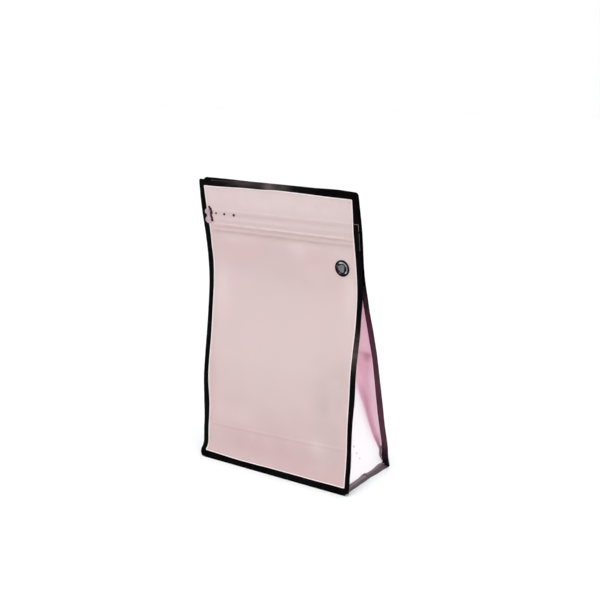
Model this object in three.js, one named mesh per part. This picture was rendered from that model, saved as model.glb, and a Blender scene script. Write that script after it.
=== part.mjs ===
// A shut stand-up pouch with a flat bottom: one filled body of matte film, black welded margins along
// every edge, a press-to-close zipper that shows through the film, and a one-way air valve.
// Millimetres, +Z up. It stands on z = 0, its front faces -Y, and its origin is the middle of its base.

import * as THREE from "three";

// Overall size: across the side margins, standing height, and depth of the base.
const WIDTH = 140;
const HEIGHT = 224.5;
const DEPTH = 65.3;

// Welded margins: how wide they are along each edge, how thick, and how their corners are rounded.
const SIDE_MARGIN = 4.5;
const TOP_MARGIN = 4.9;
const BOTTOM_MARGIN = 4.5;
const MARGIN_THICKNESS = 1;
const TOP_CORNER = 2.5;
const FRONT_BOTTOM_CORNER = 3;
const BACK_BOTTOM_CORNER = 1;
// The back layer stands a little higher than the front one, and the side skirts flare outwards.
const BACK_LAYER_RISE = 1;
const SKIRT_FLARE = 2.8;
// Room between neighbouring solids.
const CLEARANCE = 0.3;

// Where the welded edges of the front and back panels stand, as [height, y].
const FRONT_EDGE = [
  [0, -DEPTH / 2],
  [10, -29.8],
  [46, -27],
  [80, -24],
  [105, -20.4],
  [130, -16.4],
  [149, -15.1],
  [175, -18.1],
  [200, -22.1],
  [HEIGHT, -24.6],
];
const BACK_EDGE = [
  [0, DEPTH / 2],
  [4, 31.3],
  [12, 29.4],
  [50, 20.8],
  [80, 13.3],
  [100, 8],
  [120, 1.1],
  [140, -5.8],
  [160, -12.1],
  [190, -17.1],
  [210, -20.8],
  [HEIGHT, -22.2],
];

// The edges draw in a little above the stiff bottom weld, and the filled panels swell between them.
const EDGE_DRAW_IN = 0.9;
const DRAW_IN_HEIGHTS = [4, 14];
const PANEL_SWELL = 2.2;
const SWELL_RISE = [8, 60];
const SWELL_FALL = [110, 165];

// The folded-in sides: a tall shallow tray whose floor leans inwards and closes to a crease. Its walls
// run from the margins towards the middle, up to a share of the half gap between the panels.
const SIDE_LEAN = 0.145;
const SIDE_WALL_RUN = [1.3, 6.5];
const SIDE_WALL_HEIGHTS = [8, 36];
const SIDE_CLOSE_HEIGHTS = [132, 158];
const WALL_SHARE = 0.76;
const CORNER_SHARE = 0.4;

// Zipper ribs on both panels, as [height, half height, how far it stands out].
const ZIPPER_RIBS = [
  [185.4, 1.3, 0.6],
  [189.7, 1, 0.45],
  [193.4, 0.8, 0.25],
  [200.2, 1.2, 0.3],
];
// Where a rib has its own levels, as parts of its half height.
const RIB_LEVELS = [-1, -0.5, 0, 0.5, 1];

// The bottom panel sags to the table, this far inside the skirt that the bottom margins make.
const BASE_INSET = 1.2;

// Air valve on the front panel: its middle, and the outlines of its round pieces as [radius, height].
const VALVE_X = 53.3;
const VALVE_Z = 166.4;
const VALVE_RADIUS = 6.2;
const VALVE_RIM = [
  [0, 0],
  [VALVE_RADIUS, 0],
  [VALVE_RADIUS, 0.8],
  [5.6, 1.3],
  [5, 0.9],
  [4.7, 0.5],
  [0, 0.5],
];
const VALVE_CAP = [
  [0, 0.8],
  [3.3, 0.8],
  [3.3, 1.3],
  [2.6, 1.7],
  [0, 1.8],
];

// How finely the surfaces are divided.
const PANEL_COLUMNS = 10;
const LEVEL_STEP = 6;
const LEAST_LEVEL_GAP = 2;
const CORNER_STEPS = 4;
const VALVE_SEGMENTS = 32;

// Heights that follow from the sizes above.
const FRONT_TOP = HEIGHT - BACK_LAYER_RISE;
const TOP_MARGIN_LOW = FRONT_TOP - TOP_MARGIN;
const PANEL_TOP = TOP_MARGIN_LOW - CLEARANCE;
const PANEL_BOTTOM = BOTTOM_MARGIN + CLEARANCE;

const film = new THREE.MeshStandardMaterial({ color: 0xdfc0c8, roughness: 0.6, metalness: 0 });
const weld = new THREE.MeshStandardMaterial({ color: 0x0c0a0c, roughness: 0.4, metalness: 0 });
const rimPlastic = new THREE.MeshStandardMaterial({ color: 0x131214, roughness: 0.3, metalness: 0 });
const capPlastic = new THREE.MeshStandardMaterial({ color: 0x7b7c82, roughness: 0.45, metalness: 0 });

// A smooth curve through [at, value] points: cubic pieces that share their slope at each point.
function curveThrough(points) {
  const last = points.length - 1;
  const secant = (i) => (points[i + 1][1] - points[i][1]) / (points[i + 1][0] - points[i][0]);
  const slopes = points.map(([at], i) => {
    if (i === 0 || i === last) return secant(Math.min(i, last - 1));
    const [before, after] = [at - points[i - 1][0], points[i + 1][0] - at];
    return (after * secant(i - 1) + before * secant(i)) / (before + after);
  });
  return (at) => {
    const next = points.findIndex(([end], i) => i > 0 && (end >= at || i === last));
    const [[from, start], [to, end]] = [points[next - 1], points[next]];
    const span = to - from;
    const t = (at - from) / span;
    const bend = (1 - t) * slopes[next - 1] - t * slopes[next];
    return start + (end - start) * t * t * (3 - 2 * t) + bend * span * t * (1 - t);
  };
}

const { lerp, smoothstep } = THREE.MathUtils;
const frontEdgeY = curveThrough(FRONT_EDGE);
const backEdgeY = curveThrough(BACK_EDGE);

// Half the width across the welded edges, and half the width of the panels between the margins.
const edgeX = (z) => WIDTH / 2 - EDGE_DRAW_IN * smoothstep(z, ...DRAW_IN_HEIGHTS);
const marginX = (z) => edgeX(z) - SIDE_MARGIN;
const panelX = (z) => marginX(z) - CLEARANCE;

// How far a panel stands out from the line between its two edges at (x, z).
function panelRelief(x, z) {
  const across = 1 - (x / panelX(z)) ** 2;
  const swell = PANEL_SWELL * smoothstep(z, ...SWELL_RISE) * (1 - smoothstep(z, ...SWELL_FALL));
  const rib = ZIPPER_RIBS.find(([height, half]) => Math.abs(z - height) < half);
  const ribbed = rib ? rib[2] * Math.cos(((z - rib[0]) / rib[1]) * (Math.PI / 2)) : 0;
  return swell * across + (Math.abs(x) < panelX(z) ? ribbed : 0);
}

// The outline of the right side at height z, from the front margin's inner corner to the back one's.
function sideOutline(z) {
  const [front, back, x] = [frontEdgeY(z), backEdgeY(z), panelX(z)];
  const halfGap = (back - front) / 2;
  const corner = Math.min(MARGIN_THICKNESS, CORNER_SHARE * halfGap);
  const wanted = lerp(...SIDE_WALL_RUN, smoothstep(z, ...SIDE_WALL_HEIGHTS));
  const run = Math.min(wanted, WALL_SHARE * halfGap);
  const depth = SIDE_LEAN * (z - PANEL_BOTTOM) * (1 - smoothstep(z, ...SIDE_CLOSE_HEIGHTS));
  return [
    [x, front + corner],
    [x - depth, front + run],
    [x - depth, front + halfGap],
    [x - depth, back - run],
    [x, back - corner],
  ];
}

// The body's outline at height z, anticlockwise seen from above, as points in space.
function bodyRing(z) {
  const x = panelX(z);
  const columns = Array.from({ length: PANEL_COLUMNS + 1 }, (_, i) => lerp(-x, x, i / PANEL_COLUMNS));
  const front = columns.map((at) => [at, frontEdgeY(z) - panelRelief(at, z)]);
  const back = columns.map((at) => [at, backEdgeY(z) + panelRelief(at, z)]).reverse();
  const right = sideOutline(z);
  const left = right.map(([at, y]) => [-at, y]).reverse();
  return [...front, ...right, ...back, ...left].map(([at, y]) => new THREE.Vector3(at, y, z));
}

// The same outline at another height, drawn in by insetX and insetY on each side.
function insetRing(ring, insetX, insetY, z) {
  const box = new THREE.Box3().setFromPoints(ring);
  const middle = box.getCenter(new THREE.Vector3());
  const half = box.getSize(new THREE.Vector3()).multiplyScalar(0.5);
  const scale = new THREE.Vector3(1 - insetX / half.x, 1 - insetY / half.y, 1);
  return ring.map((p) => p.clone().sub(middle).multiply(scale).add(middle).setZ(z));
}

// A closed solid through rings of equally many points, each end closed by a fan about its middle.
function loft(rings) {
  const count = rings[0].length;
  const points = rings.flat();
  const faces = [];
  for (let level = 0; level < rings.length - 1; level += 1) {
    for (let i = 0; i < count; i += 1) {
      const [a, b] = [level * count + i, level * count + ((i + 1) % count)];
      faces.push(a, b, b + count, a, b + count, a + count);
    }
  }
  [rings[0], rings[rings.length - 1]].forEach((ring, end) => {
    const middle = points.length;
    points.push(ring.reduce((sum, p) => sum.add(p), new THREE.Vector3()).divideScalar(count));
    const start = end * (rings.length - 1) * count;
    for (let i = 0; i < count; i += 1) {
      const pair = [start + i, start + ((i + 1) % count)];
      faces.push(middle, ...(end ? pair : pair.reverse()));
    }
  });
  const geometry = new THREE.BufferGeometry().setFromPoints(points);
  geometry.setIndex(faces);
  geometry.computeVertexNormals();
  return geometry;
}

// Heights from low to high in even steps, with the zipper ribs' own levels among them.
function levels(low, high) {
  const steps = Math.round((high - low) / LEVEL_STEP);
  const even = Array.from({ length: steps + 1 }, (_, i) => lerp(low, high, i / steps));
  const ribs = ZIPPER_RIBS.flatMap(([height, half]) => RIB_LEVELS.map((k) => height + k * half));
  const apart = (z) => ribs.every((rib) => Math.abs(rib - z) > LEAST_LEVEL_GAP);
  return [...even.filter(apart), ...ribs].sort((a, b) => a - b);
}

function bodyGeometry() {
  const shell = levels(PANEL_BOTTOM, PANEL_TOP).map(bodyRing);
  const ledge = MARGIN_THICKNESS + CLEARANCE;
  const neck = insetRing(shell[0], ledge, ledge, PANEL_BOTTOM);
  const foot = insetRing(shell[0], ledge + BASE_INSET, ledge, 0);
  return loft([foot, neck, ...shell]);
}

// How far a margin's outer edge is cut back at height z by a rounded lower corner.
function cornerCut(z, radius) {
  const into = radius - Math.min(z, radius);
  return radius - Math.sqrt(radius * radius - into * into);
}

// A side margin, which stands out past the panel: side is -1 for left, +1 for right.
function sideMarginGeometry(side, isFront) {
  const radius = isFront ? FRONT_BOTTOM_CORNER : BACK_BOTTOM_CORNER;
  const corner = Array.from({ length: CORNER_STEPS }, (_, i) => radius * (i / CORNER_STEPS) ** 2);
  const rings = [...corner, radius, ...levels(PANEL_BOTTOM, PANEL_TOP)].map((z) => {
    const outer = edgeX(z) - cornerCut(z, radius);
    const near = isFront ? frontEdgeY(z) : backEdgeY(z) - MARGIN_THICKNESS;
    const far = near + MARGIN_THICKNESS;
    const [left, right] = side > 0 ? [marginX(z), outer] : [-outer, -marginX(z)];
    const ring = [
      [left, near],
      [right, near],
      [right, far],
      [left, far],
    ];
    return ring.map(([x, y]) => new THREE.Vector3(x, y, z));
  });
  return loft(rings);
}

// The margin along the top, where the front and back layers are welded into one strip.
function topMarginGeometry() {
  const half = edgeX(FRONT_TOP);
  const middle = (frontEdgeY(FRONT_TOP) + backEdgeY(FRONT_TOP)) / 2;
  const corner = Array.from({ length: CORNER_STEPS + 1 }, (_, i) => TOP_CORNER * (i / CORNER_STEPS) ** 2);
  const left = corner.map((cut) => cut - half);
  const right = corner.map((cut) => half - cut).reverse();
  const rings = [...left, ...right].map((x) => {
    const drop = cornerCut(half - Math.abs(x), TOP_CORNER);
    const ring = [
      [backEdgeY(TOP_MARGIN_LOW), TOP_MARGIN_LOW],
      [backEdgeY(HEIGHT), HEIGHT - drop],
      [middle, HEIGHT - drop],
      [middle, FRONT_TOP - drop],
      [frontEdgeY(FRONT_TOP), FRONT_TOP - drop],
      [frontEdgeY(TOP_MARGIN_LOW), TOP_MARGIN_LOW],
    ];
    return ring.map(([y, z]) => new THREE.Vector3(x, y, z));
  });
  return loft(rings);
}

// The margin under the front or back panel, between the two side margins.
function bottomMarginGeometry(isFront) {
  const half = panelX(0);
  const edge = isFront ? frontEdgeY : backEdgeY;
  const inwards = isFront ? MARGIN_THICKNESS : -MARGIN_THICKNESS;
  const corners = [
    [edge(0) + inwards, 0],
    [edge(BOTTOM_MARGIN) + inwards, BOTTOM_MARGIN],
    [edge(BOTTOM_MARGIN), BOTTOM_MARGIN],
    [edge(0), 0],
  ];
  const ends = isFront ? [-half, half] : [half, -half];
  return loft(ends.map((x) => corners.map(([y, z]) => new THREE.Vector3(x, y, z))));
}

// The flared margin under a folded-in side: side is -1 for left, +1 for right.
function sideSkirtGeometry(side) {
  const inwards = MARGIN_THICKNESS + CLEARANCE;
  const foot = panelX(0) + SKIRT_FLARE;
  const corners = [
    [foot - MARGIN_THICKNESS, 0],
    [panelX(0) - MARGIN_THICKNESS, BOTTOM_MARGIN],
    [panelX(0), BOTTOM_MARGIN],
    [foot, 0],
  ];
  const front = corners.map(([x, z]) => new THREE.Vector3(side * x, frontEdgeY(z) + inwards, z));
  const back = corners.map(([x, z]) => new THREE.Vector3(side * x, backEdgeY(z) - inwards, z));
  return loft(side > 0 ? [front, back] : [back, front]);
}

// A round piece turned about its own axis, which points out of the front panel.
function turnedGeometry(outline) {
  const profile = outline.map(([radius, height]) => new THREE.Vector2(radius, height));
  return new THREE.LatheGeometry(profile, VALVE_SEGMENTS).rotateX(Math.PI);
}

// The valve stands on the front panel, square to it.
function valve() {
  const group = new THREE.Group();
  const rise = frontEdgeY(VALVE_Z - VALVE_RADIUS) - frontEdgeY(VALVE_Z + VALVE_RADIUS);
  group.position.set(VALVE_X, frontEdgeY(VALVE_Z) - CLEARANCE, VALVE_Z);
  group.rotation.x = Math.atan2(rise, 2 * VALVE_RADIUS);
  group.add(named("valve_rim", turnedGeometry(VALVE_RIM), rimPlastic));
  group.add(named("valve_cap", turnedGeometry(VALVE_CAP), capPlastic));
  return group;
}

function named(name, geometry, material) {
  const mesh = new THREE.Mesh(geometry, material);
  mesh.name = name;
  return mesh;
}

const pouch = new THREE.Group();
pouch.add(named("film_body", bodyGeometry(), film));
pouch.add(named("top_margin", topMarginGeometry(), weld));
for (const isFront of [true, false]) {
  const panel = isFront ? "front" : "back";
  pouch.add(named(`${panel}_left_margin`, sideMarginGeometry(-1, isFront), weld));
  pouch.add(named(`${panel}_right_margin`, sideMarginGeometry(1, isFront), weld));
  pouch.add(named(`${panel}_bottom_margin`, bottomMarginGeometry(isFront), weld));
}
pouch.add(named("left_bottom_margin", sideSkirtGeometry(-1), weld));
pouch.add(named("right_bottom_margin", sideSkirtGeometry(1), weld));
pouch.add(valve());

export default pouch;
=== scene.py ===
"""Looks of a shut stand-up pouch with a flat bottom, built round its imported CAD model.

Sizes are in millimetres, as in the CAD source, and become metres when a mesh is made. The pouch stands
on z = 0, its front faces -Y, and its origin is the middle of its base.
"""

import logging
import math
from dataclasses import dataclass, field
from enum import Enum, IntEnum
from functools import cache, cached_property
from typing import Callable, Sequence

import bpy
import numpy as np
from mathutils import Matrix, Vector


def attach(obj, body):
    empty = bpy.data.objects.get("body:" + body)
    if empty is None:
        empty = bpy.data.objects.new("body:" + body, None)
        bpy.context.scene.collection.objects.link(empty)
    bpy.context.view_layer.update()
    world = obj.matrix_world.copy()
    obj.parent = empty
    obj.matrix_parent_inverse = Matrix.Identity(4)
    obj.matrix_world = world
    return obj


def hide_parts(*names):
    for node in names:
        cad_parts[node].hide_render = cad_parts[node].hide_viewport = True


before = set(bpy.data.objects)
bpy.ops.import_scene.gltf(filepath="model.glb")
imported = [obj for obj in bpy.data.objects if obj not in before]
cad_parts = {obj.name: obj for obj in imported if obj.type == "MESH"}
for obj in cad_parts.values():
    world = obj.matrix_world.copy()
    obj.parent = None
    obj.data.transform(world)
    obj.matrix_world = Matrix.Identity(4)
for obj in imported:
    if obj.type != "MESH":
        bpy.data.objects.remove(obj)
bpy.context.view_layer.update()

MM = 0.001
BODY = "root"
RIM_SLOT = "valve_rim"
CAP_SLOT = "valve_cap"
# Two attributes of the side film: how its painted light and shade run across the tray, and how strongly the
# painted shade of a crease shows.
WALL_LIGHT_AND_SHADE = "wall_light_and_shade"
CREASE_SHADE = "crease_shade"

log = logging.getLogger("pouch")

Curve = Callable[[np.ndarray], np.ndarray]
# A colour as screen values from 0 to 255.
Colour = tuple[int, int, int]
# A soft round place on the front, as (x, z, half x, half z, share).
Place = tuple[float, float, float, float, float]


# --- Small tools ---


def smoothstep(low: float, high: float, at: np.ndarray) -> np.ndarray:
    """The share risen at a value, smoothly from 0 at low to 1 at high."""
    t = np.clip((np.asarray(at, float) - low) / (high - low), 0, 1)
    return t * t * (3 - 2 * t)


def bell(middle: float, width: float, at: np.ndarray) -> np.ndarray:
    """A smooth bump of height 1 about a middle, fallen to about a third at its width from there."""
    return np.exp(-(((np.asarray(at, float) - middle) / width) ** 2))


def curve_through(points: Sequence[tuple[float, float]]) -> Curve:
    """A smooth curve through points, of cubic pieces that share their slope at each point.

    Args:
        points: (at, value) pairs in rising order.

    Returns:
        A function that reads the curve, held level past its ends.
    """
    at, value = np.array(points, float).T
    step = np.diff(at)
    secant = np.diff(value) / step
    inner = (step[1:] * secant[:-1] + step[:-1] * secant[1:]) / (step[1:] + step[:-1])
    slope = np.concatenate([secant[:1], inner, secant[-1:]])

    def curve(where: np.ndarray) -> np.ndarray:
        """Reads the curve.

        Args:
            where: the places to read it at.

        Returns:
            The values there.
        """
        where = np.clip(np.asarray(where, float), at[0], at[-1])
        i = np.clip(np.searchsorted(at, where) - 1, 0, len(step) - 1)
        t = (where - at[i]) / step[i]
        bend = (1 - t) * slope[i] - t * slope[i + 1]
        return value[i] + (value[i + 1] - value[i]) * t * t * (3 - 2 * t) + bend * step[i] * t * (1 - t)

    return curve


def linear(colour: Colour) -> tuple[float, float, float, float]:
    """A colour as the linear values that shaders take."""
    parts = (part / 255 for part in colour)
    return (*(part / 12.92 if part <= 0.04045 else ((part + 0.055) / 1.055) ** 2.4 for part in parts), 1.0)


def even_steps(stops: Sequence[tuple[float, float]], end: float) -> np.ndarray:
    """Values from low to high whose spacing changes at given stops.

    Args:
        stops: (start, spacing) pairs in rising order.
        end: the last value.

    Returns:
        The values, both ends among them.
    """
    ends = [start for start, _ in stops[1:]] + [end]
    parts = [
        np.linspace(start, stop, max(1, round((stop - start) / spacing)), endpoint=False)
        for (start, spacing), stop in zip(stops, ends)
    ]
    return np.append(np.concatenate(parts), end)


# --- Meshes ---


@dataclass
class Solid:
    """Points in millimetres and the faces between them."""

    points: np.ndarray
    faces: list[tuple[int, ...]]

    def outward(self) -> "Solid":
        """Turns the faces round if they point inwards.

        Returns:
            The solid with its faces pointing outwards.
        """
        volume = 0.0
        for face in self.faces:
            fan = self.points[list(face)]
            volume += float((np.cross(fan[1:-1], fan[2:]) @ fan[0]).sum())
        return self if volume > 0 else Solid(self.points, [face[::-1] for face in self.faces])

    def piece(self, name: str, finish: "Finish", crease_deg: float = 40.0) -> bpy.types.Object:
        """Makes the Blender object, in metres and at the origin.

        Args:
            name: the piece's name.
            finish: its finish.
            crease_deg: edges sharper than this stay crisp.

        Returns:
            The object, linked to the scene.
        """
        made = loose_piece(name, self.points, faces=self.outward().faces)
        made.data.materials.append(finish.material)
        smooth(made.data, crease_deg)
        return made


def loose_piece(
    name: str,
    points: np.ndarray,
    edges: Sequence[tuple[int, int]] = (),
    faces: Sequence[tuple[int, ...]] = (),
) -> bpy.types.Object:
    """An object of points in millimetres, with its edges or faces.

    Args:
        name: its name.
        points: the points.
        edges: pairs of point numbers.
        faces: loops of point numbers.

    Returns:
        The object, linked to the scene.
    """
    mesh = bpy.data.meshes.new(name)
    mesh.from_pydata((np.asarray(points, float) * MM).tolist(), edges, faces)
    mesh.validate()
    made = bpy.data.objects.new(name, mesh)
    bpy.context.scene.collection.objects.link(made)
    return made


def smooth(mesh: bpy.types.Mesh, crease_deg: float) -> None:
    """Shades a mesh smooth, apart from edges sharper than crease_deg."""
    mesh.shade_smooth()
    mesh.set_sharp_from_angle(angle=math.radians(crease_deg))


def together(solids: Sequence[Solid]) -> Solid:
    """Joins several solids, each with its faces pointing outwards.

    Args:
        solids: the solids.

    Returns:
        All of them as one.
    """
    faces: list[tuple[int, ...]] = []
    shift = 0
    for solid in solids:
        faces += [tuple(i + shift for i in face) for face in solid.outward().faces]
        shift += len(solid.points)
    return Solid(np.vstack([solid.points for solid in solids]), faces)


def sheet(outer: np.ndarray, inner: np.ndarray) -> Solid:
    """A closed sheet between two grids of points.

    Args:
        outer: the outer face's points, rows by columns by 3.
        inner: the inner face's points, of the same shape.

    Returns:
        The sheet.
    """
    rows, columns = outer.shape[:2]
    count = rows * columns
    at = np.arange(count).reshape(rows, columns)
    quads = np.stack([at[:-1, :-1], at[:-1, 1:], at[1:, 1:], at[1:, :-1]], -1).reshape(-1, 4)
    rim = np.concatenate([at[0, :], at[1:, -1], at[-1, -2::-1], at[-2:0:-1, 0]])
    far = np.roll(rim, -1)
    sides = np.stack([far, rim, rim + count, far + count], -1)
    faces = np.vstack([quads, quads[:, ::-1] + count, sides])
    points = np.vstack([outer.reshape(-1, 3), inner.reshape(-1, 3)])
    return Solid(points, [tuple(face) for face in faces.tolist()])


def hoops(stations: int, around: int, is_ring: bool) -> list[tuple[int, ...]]:
    """The faces between stations that are closed loops of as many points.

    Args:
        stations: how many loops.
        around: how many points each has.
        is_ring: whether the last loop joins the first.

    Returns:
        The faces.
    """
    at = np.arange(stations * around).reshape(stations, around)
    here, there = (at, np.roll(at, -1, 0)) if is_ring else (at[:-1], at[1:])
    quads = np.stack([here, np.roll(here, -1, 1), np.roll(there, -1, 1), there], -1)
    return [tuple(face) for face in quads.reshape(-1, 4).tolist()]


def swept(sections: np.ndarray, is_ring: bool) -> Solid:
    """A closed solid through sections, each a closed loop of as many points.

    Args:
        sections: stations by loop points by 3.
        is_ring: whether the last section joins the first; otherwise both ends are closed.

    Returns:
        The solid.
    """
    stations, around = sections.shape[:2]
    faces = hoops(stations, around, is_ring)
    if not is_ring:
        faces.append(tuple(range(around - 1, -1, -1)))
        faces.append(tuple((stations - 1) * around + i for i in range(around)))
    return Solid(sections.reshape(-1, 3), faces)


def turned(outline: Sequence[tuple[float, float]], steps: int) -> Solid:
    """A round solid turned about +Z from an outline that starts and ends on the axis.

    Args:
        outline: (radius, height) pairs, the first and last with radius 0.
        steps: how many steps make the turn.

    Returns:
        The solid.
    """
    turn = np.linspace(0, 2 * np.pi, steps, endpoint=False)
    rings = [np.stack([r * np.cos(turn), r * np.sin(turn), np.full(steps, h)], -1) for r, h in outline[1:-1]]
    poles = np.array([[0, 0, outline[0][1]], [0, 0, outline[-1][1]]], float)
    faces = hoops(len(rings), steps, False)
    pole, last = len(rings) * steps, (len(rings) - 1) * steps
    for i in range(steps):
        j = (i + 1) % steps
        faces += [(pole, j, i), (pole + 1, last + i, last + j)]
    return Solid(np.vstack([*rings, poles]), faces)


# --- Node trees ---


class Graph:
    """Short ways to add and join the nodes of one tree."""

    def __init__(self, tree: bpy.types.NodeTree) -> None:
        """Keeps the tree to build in."""
        self.tree = tree

    def node(self, kind: str, inputs: dict | None = None, **settings: object) -> bpy.types.Node:
        """Adds a node.

        Args:
            kind: Blender's name for the kind of node.
            inputs: sockets to join or values to set, by input name or number.
            **settings: the node's own properties.

        Returns:
            The node.
        """
        made = self.tree.nodes.new(kind)
        for name, value in settings.items():
            setattr(made, name, value)
        for name, value in (inputs or {}).items():
            if isinstance(value, bpy.types.NodeSocket):
                self.tree.links.new(value, made.inputs[name])
            else:
                made.inputs[name].default_value = value
        return made

    def out(self, kind: str, inputs: dict | None = None, **settings: object) -> bpy.types.NodeSocket:
        """Adds a node as above, and returns its first output."""
        return self.node(kind, inputs, **settings).outputs[0]

    def math(self, operation: str, *values: object) -> bpy.types.NodeSocket:
        """Adds a Math node with up to three values or sockets, and returns its result."""
        return self.out("ShaderNodeMath", dict(enumerate(values)), operation=operation)


class GeometryTree(Graph):
    """A Geometry Nodes tree with named sizes, which ends in plain meshes with a material."""

    def __init__(self, name: str) -> None:
        """Starts the tree with its geometry and material sockets.

        Args:
            name: the tree's name.
        """
        super().__init__(bpy.data.node_groups.new(name, "GeometryNodeTree"))
        self.name = name
        self.identifiers: dict[str, str] = {}
        self.tree.interface.new_socket("Geometry", in_out="INPUT", socket_type="NodeSocketGeometry")
        self.tree.interface.new_socket("Geometry", in_out="OUTPUT", socket_type="NodeSocketGeometry")
        self.start = self.tree.nodes.new("NodeGroupInput")
        self.size("Material", None, "NodeSocketMaterial")

    @property
    def geometry(self) -> bpy.types.NodeSocket:
        """The geometry that the tree is given."""
        return self.start.outputs["Geometry"]

    def size(self, name: str, value: object, kind: str = "NodeSocketFloat") -> bpy.types.NodeSocket:
        """Adds a named input.

        Args:
            name: its name.
            value: what it is unless a piece says otherwise.
            kind: the kind of socket.

        Returns:
            The socket inside the tree.
        """
        made = self.tree.interface.new_socket(name, in_out="INPUT", socket_type=kind)
        if value is not None:
            made.default_value = value
        self.identifiers[name] = made.identifier
        return self.start.outputs[name]

    def end(self, geometry: bpy.types.NodeSocket) -> None:
        """Closes the tree: instances become real, and the material is set.

        Args:
            geometry: what the tree has made.
        """
        real = self.out("GeometryNodeRealizeInstances", {"Geometry": geometry})
        finish = self.start.outputs["Material"]
        dressed = self.out("GeometryNodeSetMaterial", {"Geometry": real, "Material": finish})
        self.tree.links.new(dressed, self.tree.nodes.new("NodeGroupOutput").inputs["Geometry"])

    def run(self, piece: bpy.types.Object, finish: "Finish", sizes: dict[str, object]) -> bpy.types.Object:
        """Runs the tree on a piece, and leaves its result as the piece's plain mesh.

        Args:
            piece: the object whose mesh goes in.
            finish: its finish.
            sizes: values for the named inputs.

        Returns:
            The same object.
        """
        modifier = piece.modifiers.new(self.name, "NODES")
        modifier.node_group = self.tree
        for name, value in {"Material": finish.material, **sizes}.items():
            modifier[self.identifiers[name]] = value
        depsgraph = bpy.context.evaluated_depsgraph_get()
        made = bpy.data.meshes.new_from_object(piece.evaluated_get(depsgraph), depsgraph=depsgraph)
        piece.modifiers.clear()
        old, piece.data = piece.data, made
        bpy.data.meshes.remove(old)
        made.name = piece.name
        smooth(made, 40.0)
        return piece


@cache
def bead_tree() -> GeometryTree:
    """A tree that runs a thin round bead along a line of points.

    Returns:
        The tree, with inputs Radius and Sides.
    """
    tree = GeometryTree("bead_along_path")
    radius = tree.size("Radius", 0.3 * MM)
    sides = tree.size("Sides", 8, "NodeSocketInt")
    line = tree.out("GeometryNodeMeshToCurve", {"Mesh": tree.geometry})
    profile = tree.out("GeometryNodeCurvePrimitiveCircle", {"Resolution": sides, "Radius": radius})
    parts = {"Curve": line, "Profile Curve": profile, "Fill Caps": True}
    tree.end(tree.out("GeometryNodeCurveToMesh", parts))
    return tree


def bead(
    name: str, points: np.ndarray, radius: float, finish: "Finish", sides: int = 8, is_ring: bool = False
) -> bpy.types.Object:
    """Makes a thin round bead along a line.

    Args:
        name: the piece's name.
        points: the line's points.
        radius: the bead's radius.
        finish: its finish.
        sides: how many sides its section has.
        is_ring: whether the last point joins the first.

    Returns:
        The piece.
    """
    count = len(points)
    edges = [(i, (i + 1) % count) for i in range(count if is_ring else count - 1)]
    piece = loose_piece(name, points, edges)
    return bead_tree().run(piece, finish, {"Radius": radius * MM, "Sides": sides})


@cache
def dot_tree() -> GeometryTree:
    """A tree that sets a low round dot on each point of a row.

    Returns:
        The tree, with inputs Radius, Flatness, Growth and Steps.
    """
    tree = GeometryTree("row_of_dots")
    radius = tree.size("Radius", 1.0 * MM)
    flatness = tree.size("Flatness", 0.15)
    growth = tree.size("Growth", 0.0)
    steps = tree.size("Steps", 24, "NodeSocketInt")
    rings = tree.math("DIVIDE", steps, 2.0)
    dome = tree.out("GeometryNodeMeshUVSphere", {"Segments": steps, "Rings": rings, "Radius": radius})
    flat = tree.out("ShaderNodeCombineXYZ", {"X": 1.0, "Y": flatness, "Z": 1.0})
    low = tree.out("GeometryNodeTransform", {"Geometry": dome, "Scale": flat})
    number = tree.out("GeometryNodeInputIndex")
    larger = tree.math("MULTIPLY_ADD", number, growth, 1.0)
    points = tree.out("GeometryNodeMeshToPoints", {"Mesh": tree.geometry})
    tree.end(tree.out("GeometryNodeInstanceOnPoints", {"Points": points, "Instance": low, "Scale": larger}))
    return tree


def dots(
    name: str, seats: np.ndarray, finish: "Finish", radius: float, flatness: float, growth: float, steps: int
) -> bpy.types.Object:
    """Makes a row of low round dots.

    Args:
        name: the piece's name.
        seats: the dots' places.
        finish: their finish.
        radius: the first dot's radius.
        flatness: how far they stand out, as a share of their radius.
        growth: how much larger each is than the one before, as a share of the first.
        steps: how many steps go round each.

    Returns:
        The piece.
    """
    row = loose_piece(name, seats, [(i, i + 1) for i in range(len(seats) - 1)])
    sizes = {"Radius": radius * MM, "Flatness": flatness, "Growth": growth, "Steps": steps}
    return dot_tree().run(row, finish, sizes)


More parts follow.
